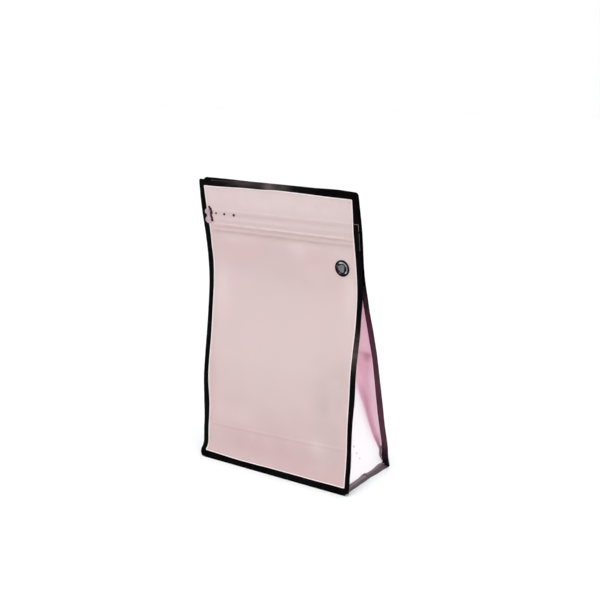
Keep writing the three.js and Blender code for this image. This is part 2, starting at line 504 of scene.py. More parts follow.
def spoke_tree() -> GeometryTree:
    """A tree that sets short rounded spokes in a ring, square to +Z.

    Returns:
        The tree, with inputs Count, Ring radius, Length, Width, Height and Level.
    """
    tree = GeometryTree("ring_of_spokes")
    count = tree.size("Count", 8, "NodeSocketInt")
    ring = tree.size("Ring radius", 4.0 * MM)
    length = tree.size("Length", 1.0 * MM)
    width = tree.size("Width", 0.4 * MM)
    height = tree.size("Height", 0.4 * MM)
    level = tree.size("Level", 0.5 * MM)
    circle = tree.out("GeometryNodeMeshCircle", {"Vertices": count, "Radius": ring})
    lifted = tree.out("ShaderNodeCombineXYZ", {"Z": level})
    placed = tree.out("GeometryNodeTransform", {"Geometry": circle, "Translation": lifted})
    size = tree.out("ShaderNodeCombineXYZ", {"X": length, "Y": width, "Z": height})
    cuts = {f"Vertices {axis}": 3 for axis in "XYZ"}
    block = tree.out("GeometryNodeMeshCube", {"Size": size, **cuts})
    rounded = tree.out("GeometryNodeSubdivisionSurface", {"Mesh": block, "Level": 1})
    place = tree.out("GeometryNodeInputPosition")
    parts = tree.node("ShaderNodeSeparateXYZ", {0: place})
    angle = tree.math("ARCTAN2", parts.outputs["Y"], parts.outputs["X"])
    turn = tree.out("ShaderNodeCombineXYZ", {"Z": angle})
    spokes = {"Points": placed, "Instance": rounded, "Rotation": turn}
    ringed = tree.out("GeometryNodeInstanceOnPoints", spokes)
    joined = tree.node("GeometryNodeJoinGeometry")
    tree.tree.links.new(ringed, joined.inputs[0])
    tree.tree.links.new(tree.geometry, joined.inputs[0])
    tree.end(joined.outputs[0])
    return tree


@dataclass(frozen=True)
class Ridge:
    """A long low ridge across a panel: where it runs, how wide and how high it is.

    Attributes:
        height: where it crosses the panel's middle.
        tilt: how far it rises for each millimetre to the right.
        half_width: from its crest to its foot.
        relief: how far it stands out.
    """

    height: float
    tilt: float
    half_width: float
    relief: float


# Where the ridges end at the left and the right, each with the length over which they fade.
RIDGE_ENDS = (-63.4, 6.0, 64.6, 3.0)
# A ridge's height falls away as exp(RIDGE_FALL * t * t), t half widths from its crest.
RIDGE_FALL = -1.6


def relief_tree(ridges: Sequence[Ridge]) -> GeometryTree:
    """A tree that raises ridges across a panel, and gives the film a slight uneven lie.

    Args:
        ridges: the ridges, whose sizes become named inputs.

    Returns:
        The tree, with inputs Outward, Uneven lie, Lie size, Seed, four for where the ridges end, and
        four for each ridge.
    """
    tree = GeometryTree("panel_relief")
    outward = tree.size("Outward", -1.0)
    left, left_fade, right, right_fade = (
        tree.size(name, value)
        for name, value in zip(("Left end", "Left fade", "Right end", "Right fade"), RIDGE_ENDS)
    )
    lie = tree.size("Uneven lie", 0.2)
    lie_size = tree.size("Lie size", 30.0)
    seed = tree.size("Seed", 3.0)
    place = tree.out("GeometryNodeInputPosition")
    in_mm = tree.out("ShaderNodeVectorMath", {0: place, 1: (1 / MM,) * 3}, operation="MULTIPLY")
    parts = tree.node("ShaderNodeSeparateXYZ", {0: in_mm})
    x, z = parts.outputs["X"], parts.outputs["Z"]
    total = None
    for number, ridge in enumerate(ridges, 1):
        height = tree.size(f"Ridge {number} height", ridge.height)
        tilt = tree.size(f"Ridge {number} tilt", ridge.tilt)
        width = tree.size(f"Ridge {number} half width", ridge.half_width)
        relief = tree.size(f"Ridge {number} relief", ridge.relief)
        line = tree.math("MULTIPLY_ADD", x, tilt, height)
        away = tree.math("DIVIDE", tree.math("SUBTRACT", z, line), width)
        fall = tree.math("EXPONENT", tree.math("MULTIPLY", tree.math("MULTIPLY", away, away), RIDGE_FALL))
        rise = tree.math("MULTIPLY", fall, relief)
        total = rise if total is None else tree.math("ADD", total, rise)
    flat = tree.out("ShaderNodeCombineXYZ", {"X": x, "Z": z})
    scaled = tree.out("ShaderNodeVectorMath", {0: flat, 1: lie_size}, operation="DIVIDE")
    spots = {"Vector": scaled, "W": seed, "Scale": 1.0, "Detail": 2.0}
    noise = tree.out("ShaderNodeTexNoise", spots, noise_dimensions="4D")
    wavy = tree.math("MULTIPLY", tree.math("SUBTRACT", noise, 0.5), lie)
    fades = []
    for more, less, fade in ((x, left, left_fade), (right, x, right_fade)):
        inside = tree.math("SUBTRACT", more, less)
        fades.append(tree.out("ShaderNodeMath", {0: inside, 1: fade}, use_clamp=True, operation="DIVIDE"))
    share = tree.math("MULTIPLY", *fades)
    out = tree.math("MULTIPLY", tree.math("MULTIPLY", tree.math("ADD", total, wavy), share), outward)
    shift = tree.out("ShaderNodeCombineXYZ", {"Y": tree.math("MULTIPLY", out, MM)})
    moved = tree.out("GeometryNodeSetPosition", {"Geometry": tree.geometry, "Offset": shift})
    tree.end(moved)
    return tree


# --- Finishes ---


class Surface(Graph):
    """The node tree of one material round its main shader."""

    def __init__(self, name: str) -> None:
        """Starts the material.

        Args:
            name: its name.
        """
        self.material = bpy.data.materials.new(name)
        self.material.use_nodes = True
        super().__init__(self.material.node_tree)
        self.shader = self.tree.nodes["Principled BSDF"]
        self.place = self.node("ShaderNodeTexCoord").outputs["Object"]

    @cached_property
    def height(self) -> bpy.types.NodeSocket:
        """The height on the object, in metres."""
        return self.node("ShaderNodeSeparateXYZ", {0: self.place}).outputs["Z"]

    def spotty(
        self, size_mm: float, detail: float = 3.0, stretch: tuple[float, float, float] = (1, 1, 1)
    ) -> bpy.types.NodeSocket:
        """A noise on the object's own coordinates.

        Args:
            size_mm: the size of its spots.
            detail: how much finer structure it has.
            stretch: how many times longer the spots are along each axis.

        Returns:
            The noise, from 0 to 1.
        """
        scale = tuple(1 / (size_mm * MM * part) for part in stretch)
        placed = self.out("ShaderNodeMapping", {"Vector": self.place, "Scale": scale})
        return self.out("ShaderNodeTexNoise", {"Vector": placed, "Scale": 1.0, "Detail": detail})

    def ranged(
        self, value: object, low: float, high: float, start: float = 0.0, end: float = 1.0
    ) -> bpy.types.NodeSocket:
        """Maps the range from low to high to the range from start to end, and keeps to it."""
        limits = {"From Min": low, "From Max": high, "To Min": start, "To Max": end}
        return self.out("ShaderNodeMapRange", {"Value": value, **limits})

    def by_height(
        self, low: float, high: float, start: float = 0.0, end: float = 1.0
    ) -> bpy.types.NodeSocket:
        """Maps the heights from low to high, in millimetres, to the range from start to end."""
        return self.ranged(self.height, low * MM, high * MM, start, end)

    def mixed(self, share: object, first: object, second: object, blend: str = "MIX") -> bpy.types.NodeSocket:
        """Mixes two colours.

        Args:
            share: how much of the second shows.
            first: the first colour.
            second: the second colour.
            blend: how they are mixed.

        Returns:
            The colour.
        """
        made = self.node("ShaderNodeMix", data_type="RGBA", blend_type=blend)
        for number, value in ((0, share), (6, first), (7, second)):
            if isinstance(value, bpy.types.NodeSocket):
                self.tree.links.new(value, made.inputs[number])
            else:
                made.inputs[number].default_value = linear(value) if isinstance(value, tuple) else value
        return made.outputs[2]

    def cloud(self, x: float, z: float, half_x: float, half_z: float, most: float) -> bpy.types.NodeSocket:
        """A soft round place on the front.

        Args:
            x: its middle across, in millimetres.
            z: its middle's height.
            half_x: how far it reaches across.
            half_z: how far it reaches up and down.
            most: the share at its middle.

        Returns:
            The share, which falls to 0 round it and behind it.
        """
        parts = self.node("ShaderNodeSeparateXYZ", {0: self.place})
        square = []
        for axis, at, half in (("X", x, half_x), ("Z", z, half_z)):
            off = self.math("SUBTRACT", parts.outputs[axis], at * MM)
            square.append(self.math("POWER", self.math("DIVIDE", off, half * MM), 2))
        away = self.math("MULTIPLY", self.math("ADD", *square), -1)
        patch = self.math("MULTIPLY", self.math("EXPONENT", away), most)
        return self.math("MULTIPLY", patch, self.ranged(parts.outputs["Y"], 0, -9 * MM))

    def bumped(self, height: bpy.types.NodeSocket, strength: float, depth_mm: float) -> None:
        """Gives the shader a bump of a height from 0 to 1, a strength and a depth."""
        sizes = {"Height": height, "Strength": strength, "Distance": depth_mm * MM}
        self.set(Normal=self.out("ShaderNodeBump", sizes))

    def rough(self, size_mm: float, detail: float, low: float, high: float) -> None:
        """Sets a roughness that varies from low to high in spots of a size."""
        self.set(Roughness=self.ranged(self.spotty(size_mm, detail), 0.3, 0.7, low, high))

    def set(self, **values: object) -> None:
        """Joins or sets the shader's inputs by their names, with _ for a space."""
        for name, value in values.items():
            socket = self.shader.inputs[name.replace("_", " ")]
            if isinstance(value, bpy.types.NodeSocket):
                self.tree.links.new(value, socket)
            else:
                socket.default_value = value


@dataclass(frozen=True)
class BaseFinish:
    """What every finish has.

    Attributes:
        name: the material's name.
    """

    name: str

    def paint(self, look: Surface) -> None:
        """Sets the shader of a new material."""
        raise NotImplementedError

    def make(self) -> bpy.types.Material:
        """Builds the material.

        Returns:
            The material.
        """
        look = Surface(self.name)
        self.paint(look)
        return look.material


@dataclass(frozen=True)
class FilmFinish(BaseFinish):
    """Matte printed film: two close tones in broad soft patches, faint upright streaks, a fine tooth, and
    clouds of painted shade and painted highlight.

    Attributes:
        light: the lighter, greyer tone.
        deep: the deeper, pinker tone.
        low: the darker tone towards the film's foot, which also paints shade in a band under the zipper.
        roughness: how matte it is.
        clouds: soft clouds of other tones, some of them painted shade and painted highlights, each tone with
            places as (x, z, half x, half z, share).
    """

    light: Colour
    deep: Colour
    low: Colour
    roughness: float = 0.55
    clouds: tuple[tuple[Colour, tuple[Place, ...]], ...] = ()

    def paint(self, look: Surface) -> None:
        """Sets the shader of the film.

        Args:
            look: the new material.
        """
        patches = look.ranged(look.spotty(34, 2, (1, 1, 1.6)), 0.36, 0.64)
        streaks = look.ranged(look.spotty(9, 2, (1, 1, 14)), 0.35, 0.65)
        tone = look.mixed(patches, self.light, self.deep)
        tone = look.mixed(look.math("MULTIPLY", streaks, 0.22), tone, self.deep)
        # The low tone: darker towards the foot, and painted shade in a band below the zipper, where the panel
        # leans forward.
        foot = look.by_height(90, 14)
        risen = look.by_height(148, 162)
        shoulder = look.math("MULTIPLY", risen, look.by_height(192, 178, 0, 0.32))
        uneven = look.ranged(look.spotty(22, 2), 0.3, 0.7, 0.55, 1)
        tone = look.mixed(look.math("MULTIPLY", look.math("MAXIMUM", foot, shoulder), uneven), tone, self.low)
        # The clouds of other tones, painted shade and painted highlights, with ragged edges.
        ragged = look.ranged(look.spotty(11, 3), 0.25, 0.75, 0.6, 1.3)
        for colour, places in self.clouds:
            for place in places:
                tone = look.mixed(look.math("MULTIPLY", look.cloud(*place), ragged), tone, colour)
        # The fine tooth.
        grain = look.spotty(0.45, 4)
        tone = look.mixed(look.ranged(grain, 0.3, 0.7, 0, 0.06), tone, self.low)
        soft = look.math("ADD", look.math("MULTIPLY", grain, 0.35), look.spotty(6, 2))
        look.bumped(soft, 0.25, 0.05)
        look.rough(18, 3, self.roughness - 0.06, self.roughness + 0.08)
        look.set(Base_Color=tone, Specular_IOR_Level=0.3, Sheen_Weight=0.08, Sheen_Roughness=0.5)


@dataclass(frozen=True)
class SideFilmFinish(BaseFinish):
    """The sides' film: painted light almost white on the tray's floor, painted shade of rose in its folds,
    and paler up its walls.

    Attributes:
        floor: the painted light on the tray's floor, almost white.
        blush: the tone just before a fold, where the painted light turns to painted shade.
        folds: the painted shade in a fold high up, half way down and at the foot.
        wall: the tone half way up a wall.
        edge: the paler tone of the walls by the welds, painted light from the opening.
        lit: the tone of the walls where the side closes above.
    """

    floor: Colour
    blush: Colour
    folds: tuple[Colour, Colour, Colour]
    wall: Colour
    edge: Colour
    lit: Colour

    def paint(self, look: Surface) -> None:
        """Sets the shader of the film.

        Args:
            look: the new material.
        """
        depth = look.node("ShaderNodeAttribute", attribute_name=WALL_LIGHT_AND_SHADE).outputs["Fac"]
        creased = look.node("ShaderNodeAttribute", attribute_name=CREASE_SHADE).outputs["Fac"]
        uneven = look.math("MULTIPLY_ADD", look.spotty(7, 3, (1, 1, 3)), 0.3, -0.15)
        past = look.math("ADD", depth, look.math("MULTIPLY", uneven, depth))
        # A fold's painted shade, which changes down the side.
        high, middle, low = self.folds
        fold = look.mixed(look.by_height(78, 62), high, middle)
        fold = look.mixed(look.by_height(31, 18), fold, low)
        # The painted light and shade from the floor through a fold and up a wall to its weld, then the
        # crease's painted shade.
        lit = look.by_height(86, 106)
        tone = look.mixed(look.ranged(past, 0.08, 0.5), self.floor, self.blush)
        tone = look.mixed(look.ranged(past, 0.5, 1.0), tone, fold)
        tone = look.mixed(look.ranged(past, 1.04, 1.5), tone, look.mixed(lit, self.wall, self.lit))
        tone = look.mixed(look.ranged(past, 1.5, 2.0), tone, look.mixed(lit, self.edge, self.lit))
        tone = look.mixed(creased, tone, middle)
        soft = look.math("ADD", look.math("MULTIPLY", look.spotty(0.45, 4), 0.35), look.spotty(5, 2))
        look.bumped(soft, 0.25, 0.06)
        look.rough(12, 3, 0.46, 0.6)
        look.set(Base_Color=tone, Specular_IOR_Level=0.25)


@dataclass(frozen=True)
class WeldFinish(BaseFinish):
    """Dark heat-welded film: satin, faintly ribbed by the sealing bars, rubbed a little along it, with
    painted highlights at given places.

    Attributes:
        base: its colour.
        rubbed: the colour of the rubbed places, and of the painted highlights.
        roughness: how matte it is.
        specular: how strongly it mirrors.
        rub: how much of the rubbed colour shows at most.
        painted_highlights: places on the front painted with the rubbed colour as highlights, as (x, z, half
            x, half z, share).
    """

    base: Colour
    rubbed: Colour
    roughness: float = 0.38
    specular: float = 0.25
    rub: float = 0.35
    painted_highlights: tuple[Place, ...] = ()

    def paint(self, look: Surface) -> None:
        """Sets the shader of the weld.

        Args:
            look: the new material.
        """
        clouds = look.ranged(look.spotty(14, 3), 0.42, 0.75, 0, self.rub)
        scuffs = look.ranged(look.spotty(1.3, 4, (1, 1, 4)), 0.58, 0.78, 0, self.rub * 0.5)
        share = look.math("ADD", clouds, scuffs)
        streaks = look.ranged(look.spotty(2.2, 3, (5, 1, 2)), 0.25, 0.7, 0.55, 1.1)
        # Painted highlights: the rubbed colour laid on at given places, in streaks.
        for place in self.painted_highlights:
            share = look.math("ADD", share, look.math("MULTIPLY", look.cloud(*place), streaks))
        tone = look.mixed(share, self.base, self.rubbed)
        wave = {"Scale": 1 / (2.6 * MM), "Distortion": 0.6, "Detail": 1.0, "Detail Scale": 0.4}
        waves = look.node("ShaderNodeTexWave", {"Vector": look.place, **wave}, bands_direction="DIAGONAL")
        ribs = waves.outputs["Fac"]
        height = look.math("MULTIPLY_ADD", ribs, 0.25, look.spotty(3.5, 3))
        look.bumped(height, 0.3, 0.06)
        look.rough(7, 3, self.roughness - 0.08, self.roughness + 0.12)
        look.set(Base_Color=tone, Specular_IOR_Level=self.specular)


@dataclass(frozen=True)
class WeldPaintedBounceFinish(BaseFinish):
    """The gusset film's welded strips, black film with the rose light from the gusset painted in: nearly
    black where the sides meet, painted plum below, greyer at the foot.

    Attributes:
        high: the tone where the sides meet.
        middle: the painted plum bounce just below.
        low: the greyer painted bounce towards the foot.
        foot: the tone at the very foot.
        rubbed: the colour of the upright streaks.
    """

    high: Colour
    middle: Colour
    low: Colour
    foot: Colour = (6, 3, 5)
    rubbed: Colour = (104, 76, 90)

    def paint(self, look: Surface) -> None:
        """Sets the shader of the strips.

        Args:
            look: the new material.
        """
        # Painted plum bounce light on the black film, with near-black tones high up and at the foot.
        tone = look.mixed(look.by_height(132, 112), self.middle, self.low)
        tone = look.mixed(look.by_height(134, 138), tone, self.high)
        tone = look.mixed(look.by_height(24, 10), tone, self.high)
        tone = look.mixed(look.by_height(9, 6), tone, self.foot)
        streaks = look.ranged(look.spotty(3.0, 3, (1, 1, 8)), 0.4, 0.7, 0, 0.25)
        tone = look.mixed(streaks, tone, self.rubbed)
        look.bumped(look.spotty(2.6, 3), 0.3, 0.05)
        look.rough(6, 3, 0.42, 0.58)
        look.set(Base_Color=tone, Specular_IOR_Level=0.08)


@dataclass(frozen=True)
class SkirtFinish(BaseFinish):
    """The foot welds under the sides: black film painted greyish plum for the light that glances off it,
    rubbed above, with painted shade along the fold that stands.

    Attributes:
        light: the tone of the rubbed places, in the same painted light.
        plain: the tone of the rest, painted light on black film.
        fold: the painted shade along the lower fold.
    """

    light: Colour
    plain: Colour
    fold: Colour

    def paint(self, look: Surface) -> None:
        """Sets the shader of the foot welds.

        Args:
            look: the new material.
        """
        rubbed = look.ranged(look.spotty(3.2, 3, (1, 4, 1)), 0.35, 0.65)
        tone = look.mixed(rubbed, self.plain, self.light)
        # Painted shade along the lower fold, at the foot.
        tone = look.mixed(look.by_height(3.6, 2.4), tone, self.fold)
        look.bumped(look.spotty(2.4, 3, (1, 3, 1)), 0.35, 0.06)
        look.rough(5, 3, 0.4, 0.56)
        look.set(Base_Color=tone, Specular_IOR_Level=0.3)


@dataclass(frozen=True)
class PlasticFinish(BaseFinish):
    """Moulded plastic with a fine skin and small rubbed spots.

    Attributes:
        base: its colour.
        rubbed: the colour of the rubbed places.
        roughness: how matte it is.
        specular: how strongly it mirrors.
        coat: how glossy a skin it has.
    """

    base: Colour
    rubbed: Colour
    roughness: float
    specular: float
    coat: float

    def paint(self, look: Surface) -> None:
        """Sets the shader of the plastic.

        Args:
            look: the new material.
        """
        spots = look.ranged(look.spotty(1.6, 3), 0.45, 0.75)
        look.bumped(look.spotty(0.22, 3), 0.2, 0.02)
        look.rough(1.1, 2, self.roughness - 0.05, self.roughness + 0.08)
        look.set(Base_Color=look.mixed(spots, self.base, self.rubbed), Specular_IOR_Level=self.specular)
        look.set(Coat_Weight=self.coat, Coat_Roughness=0.12)


@dataclass(frozen=True)
class InkFinish(BaseFinish):
    """Printed ink on film, a little uneven where it has spread.

    Attributes:
        base: its colour.
        thin: the colour where the ink is thin.
        spot_mm: the size of the uneven places.
    """

    base: Colour
    thin: Colour
    spot_mm: float = 2.0

    def paint(self, look: Surface) -> None:
        """Sets the shader of the ink.

        Args:
            look: the new material.
        """
        spread = look.ranged(look.spotty(self.spot_mm, 3), 0.35, 0.68)
        look.bumped(look.spotty(0.4, 3), 0.2, 0.03)
        look.rough(1.5, 2, 0.48, 0.62)
        look.set(Base_Color=look.mixed(spread, self.base, self.thin), Specular_IOR_Level=0.25)


class Finish(Enum):
    """Every finish that the pouch wears."""

    FRONT_FILM = FilmFinish(
        "matte_rose_film", (211, 192, 190), (214, 191, 191), (203, 174, 174), 0.55,
        (
            # Painted shade along the left edge, near the foot, below the zipper and in dark lines along its
            # ridges.
            ((203, 174, 174), (
                (-60, 62, 6, 22, 0.5), (22, 152, 22, 7, 0.3), (-12, 18, 32, 6, 0.5), (24, 15, 12, 5, 0.3),
                (0, 197.6, 80, 1.3, 0.5), (0, 183.5, 80, 1.1, 0.55), (-62, 120, 5, 50, 0.3),
            )),
            # Painted shade of the upright fold in the lower right.
            ((195, 177, 173), (
                (46, 70, 12, 28, 0.6), (59, 84, 8, 20, 0.55), (52, 45, 14, 20, 0.45), (44, 24, 20, 11, 0.35),
            )),
            ((219, 185, 186), (
                (-38, 173, 26, 12, 0.6), (33, 169, 26, 12, 0.5), (-56, 45, 12, 20, 0.35),
                (52, 150, 14, 12, 0.3),
            )),
            # A paler tone, with painted highlights in thin lines along the zipper's ridge crests.
            ((229, 209, 208), (
                (-40, 180, 18, 4.0, 0.5), (30, 180, 34, 3.2, 0.4), (17, 176, 9, 7, 0.4),
                (52, 170, 10, 13, 0.35), (41, 31, 9, 8, 0.35), (0, 211, 80, 11, 0.55),
                (-57, 138, 9, 20, 0.5), (60, 150, 6, 22, 0.45), (-34, 40, 20, 8, 0.25),
                (30, 158, 10, 8, 0.15), (-40, 190.0, 28, 0.7, 0.5), (0, 189.6, 28, 0.7, 0.5),
                (40, 189.2, 28, 0.7, 0.5), (0, 194.4, 80, 2.0, 0.25),
            )),
        ),
    )
    SIDE_FILM = SideFilmFinish(
        "side_rose_film", (251, 246, 248), (252, 226, 237),
        ((232, 185, 200), (201, 142, 163), (144, 100, 117)), (219, 173, 190), (228, 195, 207),
        (240, 199, 213),
    )
    BASE_FILM = InkFinish("base_rose_film", (216, 194, 194), (206, 178, 181), 26.0)
    # Painted highlights: a sheen on the top weld left of the middle and on the right weld half way up.
    WELD = WeldFinish(
        "black_weld", (4, 3, 3), (92, 80, 79), 0.36, 0.02, 0.03,
        (
            (-26, 223, 17, 3.0, 0.52), (-4.5, 222.2, 6, 4.5, 1.1), (6.5, 221.6, 6.5, 4.0, 0.55),
            (67, 107, 4, 11.5, 0.62),
        ),
    )
    INNER_WELD = WeldPaintedBounceFinish("plum_weld", (36, 14, 25), (76, 26, 45), (76, 47, 59))
    SKIRT_WELD = SkirtFinish("grey_plum_weld", (130, 110, 115), (116, 97, 103), (78, 64, 70))
    # Painted highlights: thin pale lines along the welds' inner edges.
    BEAD = InkFinish("pale_weld_bead", (252, 242, 243), (244, 230, 232), 6.0)
    INNER_BEAD = InkFinish("rose_weld_bead", (255, 220, 234), (248, 208, 223), 6.0)
    # Painted highlights: the front layer's cut edge catching light, and dimmer glints along its edges.
    CUT_EDGE = InkFinish("pale_cut_edge", (150, 142, 142), (96, 88, 90), 4.0)
    LAYER_EDGE = InkFinish("grey_layer_edge", (84, 80, 82), (30, 27, 28), 9.0)
    PLEAT = InkFinish("shaded_pleat", (110, 82, 94), (142, 108, 120), 3.0)
    # Painted shade: a dark line where the skirt's fold steps in.
    SKIRT_EDGE = InkFinish("painted_shade_skirt_fold", (50, 36, 41), (68, 54, 59), 2.5)
    VALVE_RIM = PlasticFinish("black_valve_plastic", (8, 2, 4), (19, 11, 13), 0.34, 0.05, 0.0)
    # Painted highlight: a near-white crescent round the ring's upper right, and faint ones on its left and
    # lower left.
    VALVE_RING = WeldFinish(
        "dark_valve_ring_painted_highlight", (8, 4, 5), (250, 246, 247), 0.36, 0.12, 0.03,
        (
            (52.1, 170.5, 0.9, 0.7, 1.1), (53.9, 170.4, 0.9, 0.7, 0.8), (55.6, 169.6, 0.8, 0.9, 0.6),
            (56.8, 168.3, 0.7, 0.9, 0.5), (57.3, 166.5, 0.7, 0.9, 0.5), (57.0, 164.7, 0.7, 0.9, 0.55),
            (56.2, 163.5, 0.7, 0.6, 1.4), (49.2, 168.3, 0.6, 1.0, 0.25), (51.2, 162.8, 1.0, 0.7, 0.2),
        ),
    )
    VALVE_DISC = PlasticFinish("grey_valve_disc", (104, 103, 111), (124, 123, 131), 0.42, 0.3, 0.1)
    MARK_ROSE = InkFinish("rose_ink", (204, 180, 186), (170, 136, 146), 2.2)
    MARK_DARK = InkFinish("dark_ink", (22, 3, 10), (74, 36, 46), 1.8)
    SPECK = InkFinish("grey_ink", (206, 200, 206), (222, 216, 221), 0.8)

    @property
    def material(self) -> bpy.types.Material:
        """The finish's material, made the first time that it is asked for."""
        return bpy.data.materials.get(self.value.name) or self.value.make()


# --- The pouch's shape ---


class Panel(IntEnum):
    """The two broad panels, with the way that each faces along Y."""

    FRONT = -1
    BACK = 1


class Side(IntEnum):
    """The two sides, with the way that each faces along X."""

    LEFT = -1
    RIGHT = 1


# Where the front and the back panel stand at their side edges, as (height, y).
FRONT_EDGE = curve_through([
    (0, -32.65), (10, -29.8), (46, -27), (80, -24), (105, -20.4),
    (130, -16.4), (149, -15.1), (175, -18.1), (200, -22.1), (224.5, -24.6),
])
BACK_EDGE = curve_through([
    (0, 32.65), (4, 31.3), (12, 29.4), (50, 20.8), (80, 13.3), (100, 8),
    (120, 1.1), (140, -5.8), (160, -12.1), (190, -17.1), (210, -20.8), (224.5, -22.9),
])
# How far the front panel's right edge stands behind that line, and its left edge before it.
TWIST = curve_through([
    (0, -0.1), (5, -1.2), (10, -1.2), (20, -0.8), (30, -1.0), (48, -0.05), (80, 0.33),
    (110, 0.35), (130, 0.6), (160, 0.55), (175, 0.65), (200, 1.15), (224.5, 0.5),
])


@dataclass(frozen=True)
class Margin:
    """The weld down one side of a layer.

    Attributes:
        width: how wide it is at each height.
        shift: how far its outer edge lies to the right of the plain edge at each height.
    """

    width: Curve
    shift: Curve


# How wide the back's side welds are, as (height, width).
BACK_WELD = curve_through([
    (0, 6.5), (9, 6.1), (15, 5.4), (23, 5.1), (31, 4.95), (40, 5.0), (48, 5.2), (56, 5.15), (64, 5.05),
    (72, 4.85), (80, 4.68), (89, 4.5), (97.5, 4.6), (106, 4.7), (114.5, 4.73), (123, 4.55), (131, 4.4),
    (160, 4.6), (200, 5.2), (225, 5.0),
])
MARGINS = {
    (Panel.FRONT, Side.LEFT): Margin(
        curve_through([
            (0, 5.2), (9, 5.4), (16, 5.5), (31, 5.6), (38, 6.0), (45, 6.3), (52, 6.1), (60, 5.6),
            (74, 5.2), (96, 5.4), (118, 5.1), (131, 5.1), (148, 5.35), (158, 5.8), (166, 5.65),
            (172, 5.5), (183, 5.8), (205, 5.6), (215, 5.2), (225, 4.9),
        ]),
        curve_through([
            (0, -0.6), (3, -0.6), (6, -0.25), (9, 0.25), (16, -0.1), (23, -0.3), (38, 0.2), (45, 0.3),
            (60, -0.25), (67, -0.4), (80, -0.1), (110, 0.05), (125, -0.3), (139, -0.3), (154, -0.5),
            (165, -0.1), (198, 0), (205, -0.2), (212, -0.5), (219, -0.7), (225, -0.8),
        ]),
    ),
    (Panel.FRONT, Side.RIGHT): Margin(
        curve_through([
            (0, 4.3), (10, 4.2), (18, 4.0), (25, 4.1), (33, 3.8), (48, 4.0), (56, 4.1), (71, 4.6), (90, 4.5),
            (117, 4.4), (132, 4.2), (147, 4.5), (170, 4.4), (185, 4.5), (193, 4.6), (208, 4.5), (225, 4.8),
        ]),
        curve_through([
            (0, 0.2), (10, 0.45), (18, 0.25), (29, 0.45), (40, 0.1), (56, -0.25), (63, 0), (71, 0.3),
            (78, 0.2), (86, -0.2), (94, -0.4), (101, -0.3), (117, -0.1), (132, -0.3), (147, -0.05),
            (162, -0.1), (178, -0.3), (185, -0.5), (193, -0.5), (208, -0.3), (216, -0.2), (225, 0),
        ]),
    ),
    (Panel.BACK, Side.LEFT): Margin(
        BACK_WELD, curve_through([(0, 0), (120, 0.3), (160, 0.9), (200, 1.4), (215, 2.6), (225, 3.0)])
    ),
    (Panel.BACK, Side.RIGHT): Margin(
        BACK_WELD,
        curve_through([
            (0, -0.2), (8, 0), (15, 0.8), (23, 0.9), (31, 0.5), (39, 0.2), (56, 0.25), (72, 0.3),
            (88, 0.35), (105, 0.45), (121, 0.6), (130, 0.4), (146, 0.7), (162, 0.8), (178, 0.95),
            (187, 1.15), (195, 1.25), (203, 1.2), (212, 0.9), (220, 0.5), (225, 0.3),
        ]),
    ),
}
# The tops of the front and back layers, the lower edge of their weld, and the foot weld's upper edge,
# as (x, height).
FRONT_TOP = curve_through([
    (-70, 223.8), (-60, 223.55), (-44, 223.5), (-15, 224.3), (2, 224.05), (28, 223.55), (38, 223.3),
    (52, 222.7), (70, 222.1),
])
BACK_TOP = curve_through([
    (-70, 225.4), (-60, 225.25), (-40, 224.9), (-25, 224.45), (-10, 224.1), (2, 223.9),
    (28, 223.4), (36, 223.35), (44, 223.4), (53, 223.3), (61, 222.85), (70, 222.2),
])
WELD_LOW = curve_through([
    (-66, 218.8), (-57, 218.55), (-43, 218.65), (-25, 218.9), (-8, 218.8), (0, 219.1), (7, 218.9),
    (19, 218.5), (28, 218.15), (40, 217.6), (66, 216.8),
])
FOOT_WELD_HIGH = curve_through([
    (-66, 5.4), (-58, 5.3), (-28, 4.85), (-20, 5.0), (-13, 5.05), (-5, 5.3), (10, 5.45), (25, 5.65),
    (40, 5.7), (55, 6.0), (66, 6.1),
])
# The radii of the welds' outer corners, anticlockwise from the lower left, and of all the inner ones.
CORNER_RADII = {Panel.FRONT: (5.2, 6.0, 2.6, 1.5), Panel.BACK: (1.2, 1.2, 2.6, 3.2)}
INNER_RADIUS = 0.5
# The ridges that the zipper presses through the film, and a slack fold above the foot.
ZIPPER_TILT = -0.008
ZIPPER_RIDGES = (
    Ridge(185.6, ZIPPER_TILT, 1.3, 1.5),
    Ridge(181.6, ZIPPER_TILT, 3.0, -0.7),
    Ridge(183.6, ZIPPER_TILT, 0.9, -0.7),
    Ridge(189.2, 2 * ZIPPER_TILT, 1.0, 1.15),
    Ridge(193.3, ZIPPER_TILT, 0.9, 0.3),
    Ridge(200.1, ZIPPER_TILT, 1.4, 0.8),
    Ridge(31.3, 0.042, 1.2, 0.4),
)


